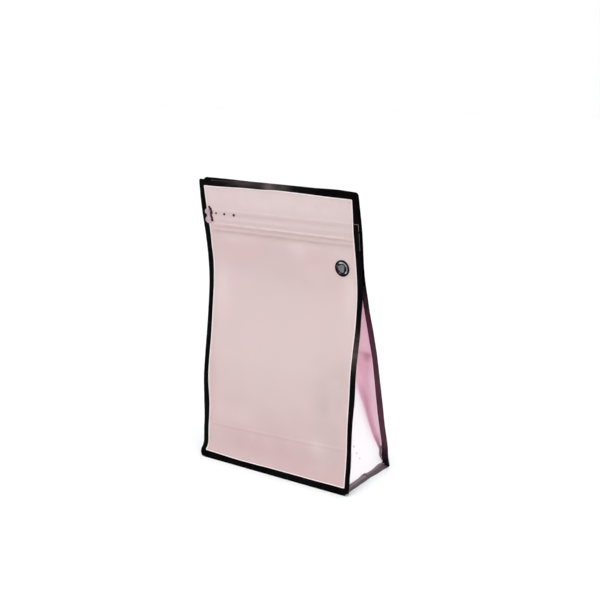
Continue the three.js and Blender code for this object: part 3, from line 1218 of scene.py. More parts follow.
@dataclass(frozen=True)
class PouchShape:
    """The sizes that every piece shares, in millimetres.

    Attributes:
        half_width: half the width across the side welds.
        side_weld: how wide the side welds are.
        draw_in: how far the sides draw in above the foot.
        swell: how far the filled panels stand out at their middle.
        weld_thick: how thick a weld is.
        fold_x: where the upright fold in the front's lower right stands, at its ends.
        fold_bow: how much farther right it stands half way up.
        fold_width: how wide it is.
        fold_depth: how far it stands out.
    """

    half_width: float = 70.0
    side_weld: float = 4.5
    draw_in: float = 0.9
    swell: float = 2.2
    weld_thick: float = 0.8
    fold_x: float = 47.0
    fold_bow: float = 6.0
    fold_width: float = 6.5
    fold_depth: float = 0.55

    def edge_x(self, z: np.ndarray) -> np.ndarray:
        """Half the width across the side welds at height z."""
        return self.half_width - self.draw_in * smoothstep(4, 14, z)

    def panel_x(self, z: np.ndarray) -> np.ndarray:
        """Half the width over which the filled panels swell at height z."""
        return self.edge_x(z) - self.side_weld

    def edge(self, panel: Panel, side: Side, z: np.ndarray, inset: float = 0.0) -> np.ndarray:
        """The line down a layer's left (-1) or right (1) weld: its outer edge at inset 0, its inner at 1."""
        margin = MARGINS[panel, side]
        return side * (self.edge_x(z) - margin.width(z) * inset) + margin.shift(z)

    def panel_y(self, panel: Panel, x: np.ndarray, z: np.ndarray) -> np.ndarray:
        """The outer face of a broad panel and of its welds, before the ridges.

        Args:
            panel: which panel.
            x: places across.
            z: heights.

        Returns:
            y at each place.
        """
        share = np.clip(1 - (np.asarray(x) / self.panel_x(z)) ** 2, 0, 1)
        swell = self.swell * smoothstep(8, 60, z) * (1 - smoothstep(110, 165, z)) * share
        if panel is Panel.BACK:
            return BACK_EDGE(z) + swell
        crest = self.fold_x + self.fold_bow * bell(58, 26, z)
        along = smoothstep(26, 48, z) * (1 - smoothstep(78, 108, z))
        fold = self.fold_depth * bell(crest, self.fold_width, x) * along
        return FRONT_EDGE(z) + TWIST(z) * x / self.half_width - swell - fold

    def on_panel(
        self, panel: Panel, x: np.ndarray, z: np.ndarray, lift: float | np.ndarray = 0.0
    ) -> np.ndarray:
        """Points on a broad panel, lifted outwards off it."""
        x, z = np.broadcast_arrays(np.asarray(x, float), np.asarray(z, float))
        return np.stack([x, self.panel_y(panel, x, z) + panel * lift, z], -1)

    def on_film(self, x: np.ndarray, z: np.ndarray, lift: float = 0.0) -> np.ndarray:
        """Points on the front film and on the ridges pressed through it.

        Args:
            x: places across.
            z: heights.
            lift: how far off the film, outwards.

        Returns:
            The points.
        """
        x, z = np.broadcast_arrays(np.asarray(x, float), np.asarray(z, float))
        raised = sum(
            ridge.relief * np.exp(RIDGE_FALL * ((z - ridge.height - ridge.tilt * x) / ridge.half_width) ** 2)
            for ridge in ZIPPER_RIDGES
        )
        left, left_fade, right, right_fade = RIDGE_ENDS
        share = np.clip((x - left) / left_fade, 0, 1) * np.clip((right - x) / right_fade, 0, 1)
        return self.on_panel(Panel.FRONT, x, z, lift + raised * share)

    def top(self, panel: Panel, x: np.ndarray) -> np.ndarray:
        """The height of a layer's upper edge."""
        return FRONT_TOP(x) if panel is Panel.FRONT else BACK_TOP(x)

    def outline(self, panel: Panel, inset: float) -> np.ndarray:
        """The line round a broad panel at a share of the weld's width.

        Args:
            panel: which panel.
            inset: 0 for the outer edge of the weld, 1 for its inner edge.

        Returns:
            (x, z) pairs, anticlockwise from the lower left as the front is seen.
        """
        low_left, low_right, high_right, high_left = (
            radius + (INNER_RADIUS - radius) * inset for radius in CORNER_RADII[panel]
        )

        def foot(x: np.ndarray) -> np.ndarray:
            """The lower edge's height."""
            curl = 0.3 * smoothstep(63, 70, x) * (1 - inset) * (panel is Panel.BACK)
            return FOOT_WELD_HIGH(x) * inset + curl

        def head(x: np.ndarray) -> np.ndarray:
            """The upper edge's height."""
            return self.top(panel, x) * (1 - inset) + WELD_LOW(x) * inset

        ends = [[float(self.edge(panel, side, z, inset)) for side in Side] for z in (5.0 * inset, 221.0)]
        (foot_left, foot_right), (head_left, head_right) = ends
        x = (foot_left + low_left, foot_right - low_right, head_right - high_right, head_left + high_left)
        z = (
            float(foot(foot_left)) + low_left,
            float(foot(foot_right)) + low_right,
            float(head(x[2])) - high_right,
            float(head(x[3])) - high_left,
        )

        def corner(number: int, radius: float, start: float) -> np.ndarray:
            """A quarter circle round one corner's middle, from the angle start in quarter turns."""
            turn = (start + np.linspace(0, 1, 9)) * np.pi / 2
            return np.stack([x[number] + radius * np.cos(turn), z[number] + radius * np.sin(turn)], -1)

        def upright(side: Side, start: float, end: float) -> np.ndarray:
            """One upright side, from start to end."""
            heights = np.linspace(start, end, 132)[1:-1]
            return np.stack([self.edge(panel, side, heights, inset), heights], -1)

        across, along_top = np.linspace(x[0], x[1], 62)[1:-1], np.linspace(x[2], x[3], 82)[1:-1]
        return np.vstack([
            corner(0, low_left, 2),
            np.stack([across, foot(across)], -1),
            corner(1, low_right, 3),
            upright(Side.RIGHT, z[1], z[2]),
            corner(2, high_right, 0),
            np.stack([along_top, head(along_top)], -1),
            corner(3, high_left, 1),
            upright(Side.LEFT, z[0], z[3])[::-1],
        ])


SHAPE = PouchShape()


def finished(piece: bpy.types.Object, replaced: Sequence[str] = ()) -> bpy.types.Object:
    """Puts a piece on the pouch's body and hides the CAD nodes that it stands for.

    Args:
        piece: the piece.
        replaced: the CAD nodes that it stands for.

    Returns:
        The same piece.
    """
    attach(piece, BODY)
    if replaced:
        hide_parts(*replaced)
    log.info("%s: %d faces", piece.name, len(piece.data.polygons))
    return piece


# --- Sub-assemblies ---


@dataclass
class FilmPanels:
    """The broad front and back panels of film, with the zipper's ridges pressed through them."""

    shape: PouchShape = SHAPE
    thick: float = 0.35
    columns: int = 78
    overlap: float = 1.0
    tree: GeometryTree = field(default_factory=lambda: relief_tree(ZIPPER_RIDGES))

    def build(self, panel: Panel) -> bpy.types.Object:
        """Makes one panel, whose edges run on under the welds.

        Args:
            panel: which panel.

        Returns:
            The piece.
        """
        z = even_steps([(4.0, 1.5), (25, 0.6), (38, 2.0), (182, 0.4), (204, 1.5)], 219.0)[:, None]
        across = np.linspace(0, 1, self.columns)[None, :]
        left, right = (self.shape.edge(panel, side, z, 1.0) + side * self.overlap for side in Side)
        x = left + (right - left) * across
        outer = self.shape.on_panel(panel, x, z)
        inner = self.shape.on_panel(panel, x, z, -self.thick)
        piece = sheet(outer, inner).piece(f"{panel.name.lower()}_film", Finish.FRONT_FILM)
        self.tree.run(piece, Finish.FRONT_FILM, {"Outward": float(panel), "Seed": 3.0 + panel})
        return finished(piece, ["film_body"])


@dataclass
class SideGussets:
    """The folded-in sides: a tall shallow tray of film whose floor leans inwards to a crease."""

    shape: PouchShape = SHAPE
    thick: float = 0.35
    # How far the tray's floor leans inwards for each millimetre of height.
    lean: float = 0.145
    # How wide a wall is at the foot, and above.
    wall_run: tuple[float, float] = (1.3, 6.5)
    fold_radius: float = 2.4
    # The sharp crease across the back wall.
    kink_height: float = 96.3
    kink_width: float = 3.4
    least_depth: float = 2.2

    def outline(self, side: Side, z: float) -> np.ndarray:
        """The tray's line at one height, from the front weld to the back one.

        Args:
            side: which side.
            z: the height.

        Returns:
            (x, y) pairs on the right-hand side, x outwards.
        """
        x, out = (side * float(self.shape.edge(panel, side, z, 1.0)) + 0.4 for panel in Panel)
        front = float(self.shape.panel_y(Panel.FRONT, side * (x - 0.5), z)) + 0.5
        back = float(self.shape.panel_y(Panel.BACK, side * (out - 0.5), z)) - 0.5
        half_gap = (back - front) / 2
        wanted = self.wall_run[0] + (self.wall_run[1] - self.wall_run[0]) * float(smoothstep(8, 36, z))
        run = min(wanted, 0.76 * half_gap)
        depth = self.lean * (z - 4.8) * (1 - float(smoothstep(132, 158, z)))
        depth = max(depth, self.least_depth * float(smoothstep(120, 150, z)), 0.02)
        bulge = 0.7 * float(smoothstep(10, 50, z)) * (1 - float(smoothstep(90, 130, z)))
        corners = np.array([
            [x, front], [x - depth, front + run], [out - depth + 0.8, back - run], [out, back],
        ])
        return self.rounded(corners, bulge)

    def rounded(self, corners: np.ndarray, bulge: float) -> np.ndarray:
        """Rounds the two folds of a four-point line, and bows its floor.

        Args:
            corners: the four points.
            bulge: how far the floor's middle stands out.

        Returns:
            The line's points, always as many.
        """
        a, b, c, d = corners
        lengths = (float(np.linalg.norm(step)) for step in np.diff(corners, axis=0))
        reach = [min(self.fold_radius, 0.42 * length) for length in lengths]

        def fold(before: np.ndarray, at: np.ndarray, after: np.ndarray, number: int) -> np.ndarray:
            """Rounds one point of the line.

            Args:
                before: the point before it.
                at: the point itself.
                after: the point after it.
                number: which of the line's lengths comes before it.

            Returns:
                The fold's points.
            """
            start = at + (before - at) / np.linalg.norm(before - at) * reach[number]
            end = at + (after - at) / np.linalg.norm(after - at) * reach[number + 1]
            t = np.linspace(0, 1, 8)[:, None]
            return (1 - t) ** 2 * start + 2 * t * (1 - t) * at + t**2 * end

        first, second = fold(a, b, c, 0), fold(b, c, d, 1)
        wall_in = a + (first[0] - a) * np.linspace(0, 1, 7)[:-1, None]
        t = np.linspace(0, 1, 14)[1:-1, None]
        floor = first[-1] + (second[0] - first[-1]) * t
        floor[:, 0] += bulge * 4 * (t * (1 - t))[:, 0]
        wall_out = second[-1] + (d - second[-1]) * np.linspace(0, 1, 9)[1:, None]
        return np.vstack([wall_in, first, floor, second, wall_out])

    def build(self, side: Side) -> bpy.types.Object:
        """Makes one folded-in side.

        Args:
            side: which side.

        Returns:
            The piece.
        """
        heights = even_steps([(4.0, 1.0), (40, 2.0), (90, 1.0), (112, 2.2)], 219.0)
        lines = np.stack([self.outline(side, float(z)) for z in heights])
        along = np.gradient(lines, axis=1)
        normal = np.stack([along[..., 1], -along[..., 0]], -1)
        normal /= np.maximum(np.linalg.norm(normal, axis=-1, keepdims=True), 1e-9)
        share = np.linspace(0, 1, lines.shape[1])[None, :]
        z = heights[:, None]
        away = z - self.kink_height - 19 * (1 - share)
        kink = -1.3 * bell(0, self.kink_width, away) * bell(0.93, 0.08, share)
        inside = smoothstep(0.0, 0.3, share) * (1 - smoothstep(0.7, 1, share))
        pucker = 0.35 * np.sin(z / 9.0 + 5 * share) * inside
        pucker *= smoothstep(10, 30, z) * (1 - smoothstep(120, 150, z))
        lines = lines + normal * (kink + 0.6 * pucker)[..., None]
        outer, inner = (
            np.stack(np.broadcast_arrays(side * line[..., 0], line[..., 1], z), -1)
            for line in (lines, lines - normal * self.thick)
        )
        piece = sheet(outer, inner).piece(f"{side.name.lower()}_gusset", Finish.SIDE_FILM, 60)
        # Painted light and shade across the tray: light on the floor, shade in the folds, paler again by the
        # welds.
        tone = self.painted_light_and_shade(heights, lines.shape[1]) * smoothstep(5, 12, z)
        # Painted shade: a dark line along the crease, its shadow just below, and a faint hollow farther down.
        sharp = bell(0, 1.9, away) * (0.35 + 0.65 * bell(0.955, 0.05, share)) * smoothstep(0.99, 0.97, share)
        shadow = 0.8 * bell(-3.4, 3.2, away) * bell(0.925, 0.045, share)
        hollow = 0.24 * bell(91, 8, z) * bell(0.85, 0.09, share)
        crease = np.clip(sharp + shadow + hollow, 0, 1) * smoothstep(0.7, 0.78, share)
        for name, values in ((WALL_LIGHT_AND_SHADE, tone), (CREASE_SHADE, crease)):
            mark = piece.data.attributes.new(name, "FLOAT", "POINT")
            mark.data.foreach_set("value", np.tile(values.ravel(), 2).astype(np.float32))
        return finished(piece, ["film_body"])

    def painted_light_and_shade(self, heights: np.ndarray, count: int) -> np.ndarray:
        """How the painted light and shade run along the tray's line at each height.

        Args:
            heights: the heights.
            count: how many points the line has.

        Returns:
            0 for the painted light on the floor, 1 for the painted shade in a fold and 2 for the paler wall
            at the weld, in one row for each height.
        """
        knots = [0, 5, 10, 13, 20, 22, 24, 25, 26, 27, 28.5, 30, 31.5, 33, 34.5, 36, 38, count - 1]
        near = [2, 1.2, 0.6, 0]
        rows = {
            17: [0, 0, 0, 0.02, 0.06, 0.25, 0.9, 1.03, 1.1, 1.2, 1.4, 1.65, 1.95, 2],
            26: [0, 0, 0.1, 0.2, 0.38, 0.75, 1.0, 1.03, 1.12, 1.25, 1.45, 1.7, 1.95, 2],
            44: [0, 0.05, 0.3, 0.5, 0.68, 0.86, 0.98, 1.02, 1.1, 1.22, 1.55, 1.9, 2, 2],
            60: [0, 0.12, 0.36, 0.6, 0.83, 0.95, 1.0, 1.04, 1.13, 1.26, 1.45, 1.65, 1.9, 2],
            78: [0.3, 0.45, 0.75, 0.88, 0.97, 1.0, 1.0, 1.02, 1.12, 1.35, 1.42, 1.48, 1.95, 2],
            92: [0.6, 0.8, 0.95, 1.0, 1.0, 1.0, 1.0, 1.0, 1.04, 1.04, 1.04, 1.1, 1.6, 2],
            108: [1.0, 1.1, 1.2, 1.3, 1.4, 1.45, 1.5, 1.5, 1.5, 1.5, 1.5, 1.6, 1.8, 2],
        }
        stops = list(rows)
        at_knots = np.array([near + row for row in rows.values()])
        lines = np.stack([np.interp(np.arange(count), knots, row) for row in at_knots])
        return np.stack([np.interp(heights, stops, line) for line in lines.T], 1)


@dataclass
class BasePanel:
    """The bottom panel of film, which sags to the table between the foot welds."""

    shape: PouchShape = SHAPE
    thick: float = 0.4
    rise: float = 2.2
    half_x: float = 65.6
    half_y: float = 30.6

    def build(self) -> bpy.types.Object:
        """Makes the panel.

        Returns:
            The piece.
        """
        across = np.linspace(-self.half_x, self.half_x, 67)
        deep = np.linspace(-self.half_y, self.half_y, 35)
        x, y = np.meshgrid(across, deep)
        end = self.half_x - np.abs(x)
        edge = np.minimum(end, self.half_y - np.abs(y))
        crease = 0.5 * bell(0, 0.9, y) * smoothstep(2, 8, end)
        z = 0.05 + self.rise * (1 - smoothstep(0, 7, edge)) + crease
        low = np.stack([x, y, z], -1)
        piece = sheet(low, low + (0, 0, self.thick)).piece("base_film", Finish.BASE_FILM)
        return finished(piece, ["film_body"])


@dataclass
class WeldedFrames:
    """The black welded margins round the front and back panels, each one closed frame, with a pale bead of
    painted highlight along its inner edge.
    """

    shape: PouchShape = SHAPE
    proud: float = 0.15
    bead_radius: float = 0.36
    # Lines round the weld's face, as shares of its width, and how far each stands off the panel.
    across: tuple[float, ...] = (0.0, 0.04, 0.12, 0.3, 0.5, 0.72, 0.9, 1.0)
    lifts: tuple[float, ...] = (-0.3, -0.02, 0.12, 0.15, 0.13, 0.15, 0.13, 0.0)

    def section(self, panel: Panel, inset: float, lift: float) -> np.ndarray:
        """One line round the frame.

        Args:
            panel: which panel.
            inset: the share of the weld's width from its outer edge.
            lift: how far off the panel, outwards.

        Returns:
            The line's points.
        """
        x, z = self.shape.outline(panel, inset).T
        # The top weld is tilted a little left of the middle, where it shines.
        tilt = 0.7 * bell(-16, 24, x) * smoothstep(217, 221, z) * (0.5 - inset)
        return self.shape.on_panel(panel, x, z, lift - tilt * (panel is Panel.FRONT))

    def build(self, panel: Panel) -> list[bpy.types.Object]:
        """Makes one frame and the pale bead, a painted highlight, along its inner edge.

        Args:
            panel: which panel.

        Returns:
            The frame and its bead.
        """
        faces = [self.section(panel, inset, lift) for inset, lift in zip(self.across, self.lifts)]
        thick = self.shape.weld_thick
        for inset in (1.0, 0.8, 0.5, 0.15, 0.0):
            faces.append(self.section(panel, inset, -thick * (0.85 if inset in (0.0, 1.0) else 1.0)))
        label = panel.name.lower()
        frame_piece = swept(np.stack(faces, 1), True).piece(f"{label}_frame", Finish.WELD, 50)
        points = self.shape.on_panel(panel, *self.shape.outline(panel, 1.0).T, 0.02)
        line = bead(f"{label}_bead", points, self.bead_radius, Finish.BEAD, is_ring=True)
        replaced = [f"{label}_{part}_margin" for part in ("left", "right", "bottom")] + ["top_margin"]
        return [finished(frame_piece, replaced), finished(line)]


@dataclass
class InnerWelds:
    """The gusset film's own welded margins: strips on the fins' inner faces painted plum with the gusset's
    bounced light, each with a bead of painted highlight.
    """

    shape: PouchShape = SHAPE
    thick: float = 0.3
    # The heights where the strips start and end, and where the beads end.
    low: float = 2.0
    high: float = 154.0
    bead_top: float = 137.0
    bead_radius: float = 0.34

    def strip(self, side: Side, panel: Panel) -> Solid:
        """One strip, on the side of a fin that faces the gusset.

        Args:
            side: which side.
            panel: whose fin it is.

        Returns:
            The strip.
        """
        z = even_steps([(self.low, 2.0)], self.high)[:, None]
        inner = self.shape.edge(panel, side, z, 1.0) + side * 0.1
        outer = self.shape.edge(panel, side, z) - side * 0.25
        share = np.linspace(0, 1, 7)[None, :]
        x = inner + (outer - inner) * share
        sunk = self.shape.weld_thick - 0.05
        near = self.shape.on_panel(panel, x, z, -sunk)
        edge = np.minimum(share, 1 - share) * 4.2
        far = self.shape.on_panel(panel, x, z, -sunk - self.thick * smoothstep(-0.4, 0.5, edge))
        return sheet(near, far)

    def build(self, side: Side) -> list[bpy.types.Object]:
        """Makes both strips of one side, and the bead of painted highlight where they meet the gusset.

        Args:
            side: which side.

        Returns:
            The strips and the bead.
        """
        strips = []
        for panel in Panel:
            z = even_steps([(self.low + 5, 2.0)], self.bead_top)
            x = self.shape.edge(panel, side, z, 1.0) - side * 0.2
            name = f"{side.name}_{panel.name}".lower()
            strip = self.strip(side, panel).piece(f"{name}_inner_weld", Finish.INNER_WELD)
            lift = -self.shape.weld_thick - 0.15
            points = self.shape.on_panel(panel, x, z, lift)
            line = bead(f"{name}_inner_bead", points, self.bead_radius, Finish.INNER_BEAD)
            strips += [finished(strip), finished(line)]
        return strips


@dataclass
class SideSkirts:
    """The flared foot welds under the sides, where the base's fold ends in a small step."""

    shape: PouchShape = SHAPE
    thick: float = 0.8
    # Where the base's fold ends, and how far the skirt before it stands out.
    step_y: float = 1.5
    step_out: float = 0.4
    half_depth: float = 33.0
    # Where the skirt meets the front and back fins.
    fin_x: float = 66.0
    fold_radius: float = 0.42

    def face(self, side: Side, y_line: np.ndarray, share: np.ndarray) -> np.ndarray:
        """Points on the skirt's outer face.

        Args:
            side: which side.
            y_line: places along the skirt, from -33 at the front to 33.
            share: how far up the skirt each point is, from 0 to 1.

        Returns:
            The points.
        """
        foot_x = curve_through([
            (-33, 66.7), (-26, 66.4), (-21, 66.3), (-15, 66.6), (-9, 66.5), (-3, 66.8), (3, 66.8), (9, 67.0),
            (15, 67.85), (24, 68.0), (28, 68.4), (33, 68.8),
        ])
        high_z = curve_through([
            (-33, 5.8), (-21, 5.8), (-15, 5.6), (-9, 5.6), (-3, 6.1), (0.5, 5.9), (3, 5.2), (9, 4.5),
            (15, 4.3), (21, 4.8), (26, 4.9), (30, 4.0), (33, 2.4),
        ])
        along = (y_line + self.half_depth) / (2 * self.half_depth)

        def back_at(rise: np.ndarray) -> np.ndarray:
            """Places the skirt between the front and the back fin.

            Args:
                rise: the height of each point.

            Returns:
                y at each point.
            """
            front, back = (
                self.shape.panel_y(panel, side * self.fin_x, rise) - panel * 0.3 for panel in Panel
            )
            return front + (back - front) * along

        slant = y_line + 1.6 * share - 0.8
        z = high_z(slant) * share
        proud = self.step_out * (1 - smoothstep(self.step_y - 0.5, self.step_y + 0.3, slant))
        bow = 0.2 * np.sin(np.pi * share)
        tray = SideGussets(self.shape).outline(side, 6.0)
        top_x = np.interp(back_at(5.0), tray[:, 1], tray[:, 0]) + 0.35
        x = foot_x(y_line) * (1 - share) + top_x * share - bow + proud * smoothstep(0, 0.3, share + 0.1)
        return np.stack(np.broadcast_arrays(side * x, back_at(share * 5), z), -1)

    def build(self, side: Side) -> list[bpy.types.Object]:
        """Makes one skirt, and a dark bead of painted shade along the edge of its fold.

        Args:
            side: which side.

        Returns:
            The skirt and the edge's painted shade.
        """
        label = side.name.lower()
        parts = ((-self.half_depth, 0.6, 36), (0.9, 2.1, 7), (2.4, self.half_depth, 33))
        y_line = np.concatenate([np.linspace(*part) for part in parts])
        outer = self.face(side, y_line[:, None], np.linspace(0, 1, 11)[None, :])
        body = sheet(outer, outer - (side * self.thick, 0, 0))
        piece = body.piece(f"{label}_skirt", Finish.SKIRT_WELD, 35)
        t = np.linspace(0, 1, 24)
        y_edge = np.interp(t, [0, 0.45, 0.75, 1], [-3.6, -0.4, 1.6, 2.8])
        up = np.interp(t, [0, 0.45, 0.75, 1], [0.97, 0.93, 0.8, 0.55])
        line = self.face(side, y_edge, up) + (side * 0.05, 0, 0)
        edge = bead(f"{label}_skirt_edge", line, self.fold_radius, Finish.SKIRT_EDGE)
        return [finished(piece, [f"{label}_bottom_margin"]), finished(edge)]


@dataclass
class AirValve:
    """The one-way valve on the front panel: a black rim, a raised ring, vents and a grey disc."""

    shape: PouchShape = SHAPE
    x: float = 53.3
    z: float = 166.4
    steps: int = 96
    # Outlines as (radius, height), turned about the valve's axis.
    rim: tuple[tuple[float, float], ...] = (
        (0, -0.2), (6.15, -0.2), (6.2, 0.02), (6.16, 0.3), (5.95, 0.48), (5.5, 0.52), (5.15, 0.4),
        (4.98, 0.14), (0, 0.08),
    )
    ring: tuple[tuple[float, float], ...] = (
        (0, 0.05), (4.88, 0.06), (4.82, 0.3), (4.64, 0.46), (4.3, 0.5), (3.95, 0.4), (3.76, 0.2),
        (3.7, 0.1), (0, 0.1),
    )
    disc: tuple[tuple[float, float], ...] = (
        (0, 0.06), (2.9, 0.06), (3.0, 0.4), (2.85, 0.62), (2.5, 0.72), (1.9, 0.74), (1.2, 0.66),
        (0.8, 0.68), (0.5, 0.74), (0, 0.76),
    )
    # How uneven the disc's edge is, how far the disc lies off the middle, and how narrow the valve is.
    lumps: float = 0.11
    lean: float = -0.45
    narrow: float = 0.945

    def placed(self, solid: Solid) -> Solid:
        """Turns a solid's axis from +Z to the panel's outward normal, and moves it to its place.

        Args:
            solid: the solid, turned about +Z.

        Returns:
            The solid on the front panel.
        """
        reach = 6.2
        ends = np.array([-reach, reach])
        low, high = self.shape.panel_y(Panel.FRONT, self.x, self.z + ends)
        near, far = self.shape.panel_y(Panel.FRONT, self.x + ends, self.z)
        up = Vector((0, high - low, 2 * reach)).normalized()
        right = Vector((2 * reach, far - near, 0)).normalized()
        out = right.cross(up).normalized()
        up = out.cross(right)
        turn = np.array([right * self.narrow, up, out])
        middle = self.shape.on_panel(Panel.FRONT, self.x, self.z, 0.2)
        return Solid(solid.points @ turn + middle, solid.faces)

    def build(self) -> list[bpy.types.Object]:
        """Makes the valve's pieces.

        Returns:
            The rim, the ring, the disc and the vents.
        """
        rim, ring, round_disc = (turned(outline, self.steps) for outline in (self.rim, self.ring, self.disc))
        angle = np.arctan2(round_disc.points[:, 1], round_disc.points[:, 0])
        reach = 1 + self.lumps * np.cos(3 * (angle - np.pi * 0.94)) + 0.03 * np.sin(5 * angle)
        lumps = np.stack([reach * 0.92, reach, np.ones_like(reach)], -1)
        lumpy = round_disc.points * lumps + (self.lean, 0, 0)
        disc = Solid(lumpy, round_disc.faces)
        made = [
            (rim, "valve_outer_rim", Finish.VALVE_RIM, RIM_SLOT, "valve_rim"),
            (ring, "valve_raised_ring", Finish.VALVE_RING, RIM_SLOT, "valve_rim"),
            (disc, "valve_disc", Finish.VALVE_DISC, CAP_SLOT, "valve_cap"),
        ]
        pieces = [
            finished(self.placed(solid).piece(name, finish, 35), [node])
            for solid, name, finish, slot, node in made
        ]
        return [*pieces, self.vents()]

    def vents(self) -> bpy.types.Object:
        """Makes the small spokes between the ring and the disc.

        Returns:
            The piece.
        """
        seat = turned(((0, 0.0), (3.4, 0.0), (3.4, 0.12), (0, 0.12)), 24)
        piece = seat.piece("valve_vents", Finish.VALVE_RIM)
        sizes = {
            "Count": 10, "Ring radius": 3.3 * MM, "Length": 0.6 * MM, "Width": 0.4 * MM,
            "Height": 0.3 * MM, "Level": 0.18 * MM,
        }
        spoke_tree().run(piece, Finish.VALVE_RIM, sizes)
        points = np.array([v.co for v in piece.data.vertices], float) / MM
        placed = self.placed(Solid(points, [])).points * MM
        piece.data.vertices.foreach_set("co", placed.astype(np.float32).ravel())
        piece.data.update()
        return finished(piece)


@dataclass
class CutMark:
    """The printed mark by the left weld: joined rose lobes, a dark wavy stroke and a row of three dots."""

    shape: PouchShape = SHAPE
    lift: float = 0.5
    # Lobes and blots as (x, z, radius).
    lobes: tuple[tuple[float, float, float], ...] = (
        (-63.5, 198.8, 2.4), (-63.5, 192.3, 2.8), (-62.4, 195.6, 2.1),
    )
    stroke: tuple[tuple[float, float], ...] = (
        (-62.2, 202.9), (-61.4, 202.3), (-60.75, 201.5), (-59.9, 200.8), (-59.6, 200.0), (-59.65, 199.2),
        (-59.95, 198.3), (-60.35, 197.5), (-60.6, 196.4), (-60.65, 195.4), (-60.15, 194.7),
        (-59.8, 193.8), (-59.85, 192.8), (-59.9, 192.0), (-59.75, 191.3),
    )
    blots: tuple[tuple[float, float, float], ...] = (
        (-60.0, 200.8, 0.85), (-60.0, 198.1, 1.2), (-59.95, 192.7, 1.0),
    )
    dots: tuple[tuple[float, float], ...] = ((-55.5, 198.1), (-47.7, 197.9), (-38.8, 197.8))
    dot_radius: float = 0.88
    dot_growth: float = 0.13
    stroke_radius: float = 1.0

    def patch(self, x: float, z: float, radius: float, high: float) -> Solid:
        """A low round patch that follows the front panel.

        Args:
            x: its middle across.
            z: its middle's height.
            radius: its radius.
            high: how far it stands off the weld at its middle.

        Returns:
            The patch.
        """
        turn = np.linspace(0, 2 * np.pi, 40, endpoint=False)
        rings = []
        for share, lift in ((1.0, -0.1), (1.0, 0.6 * high), (0.94, 0.85 * high), (0.6, high), (0.25, high)):
            at_x, at_z = x + share * radius * np.cos(turn), z + share * radius * np.sin(turn)
            rings.append(self.shape.on_film(at_x, at_z, lift))
        return swept(np.stack(rings), False)

    def build(self) -> list[bpy.types.Object]:
        """Makes the mark's pieces.

        Returns:
            The stroke, the dots, the lobes and the blots on the stroke.
        """
        rose = together([self.patch(*lobe, self.lift + 0.02) for lobe in self.lobes])
        dark = together([self.patch(*blot, self.lift + 0.3) for blot in self.blots])
        knots = np.array(self.stroke)
        along = np.linspace(0, 1, len(knots))
        fine = np.linspace(0, 1, 60)
        stroke = self.shape.on_film(*(curve_through(list(zip(along, part)))(fine) for part in knots.T), -0.25)
        seats = self.shape.on_film(*np.array(self.dots).T, 0.15)
        made = [
            bead("mark_stroke", stroke, self.stroke_radius, Finish.MARK_DARK, sides=16),
            dots("mark_dots", seats, Finish.MARK_DARK, self.dot_radius, 0.24, self.dot_growth, 28),
            rose.piece("mark_lobes", Finish.MARK_ROSE),
            dark.piece("mark_blots", Finish.MARK_DARK),
        ]
        return [finished(piece) for piece in made]


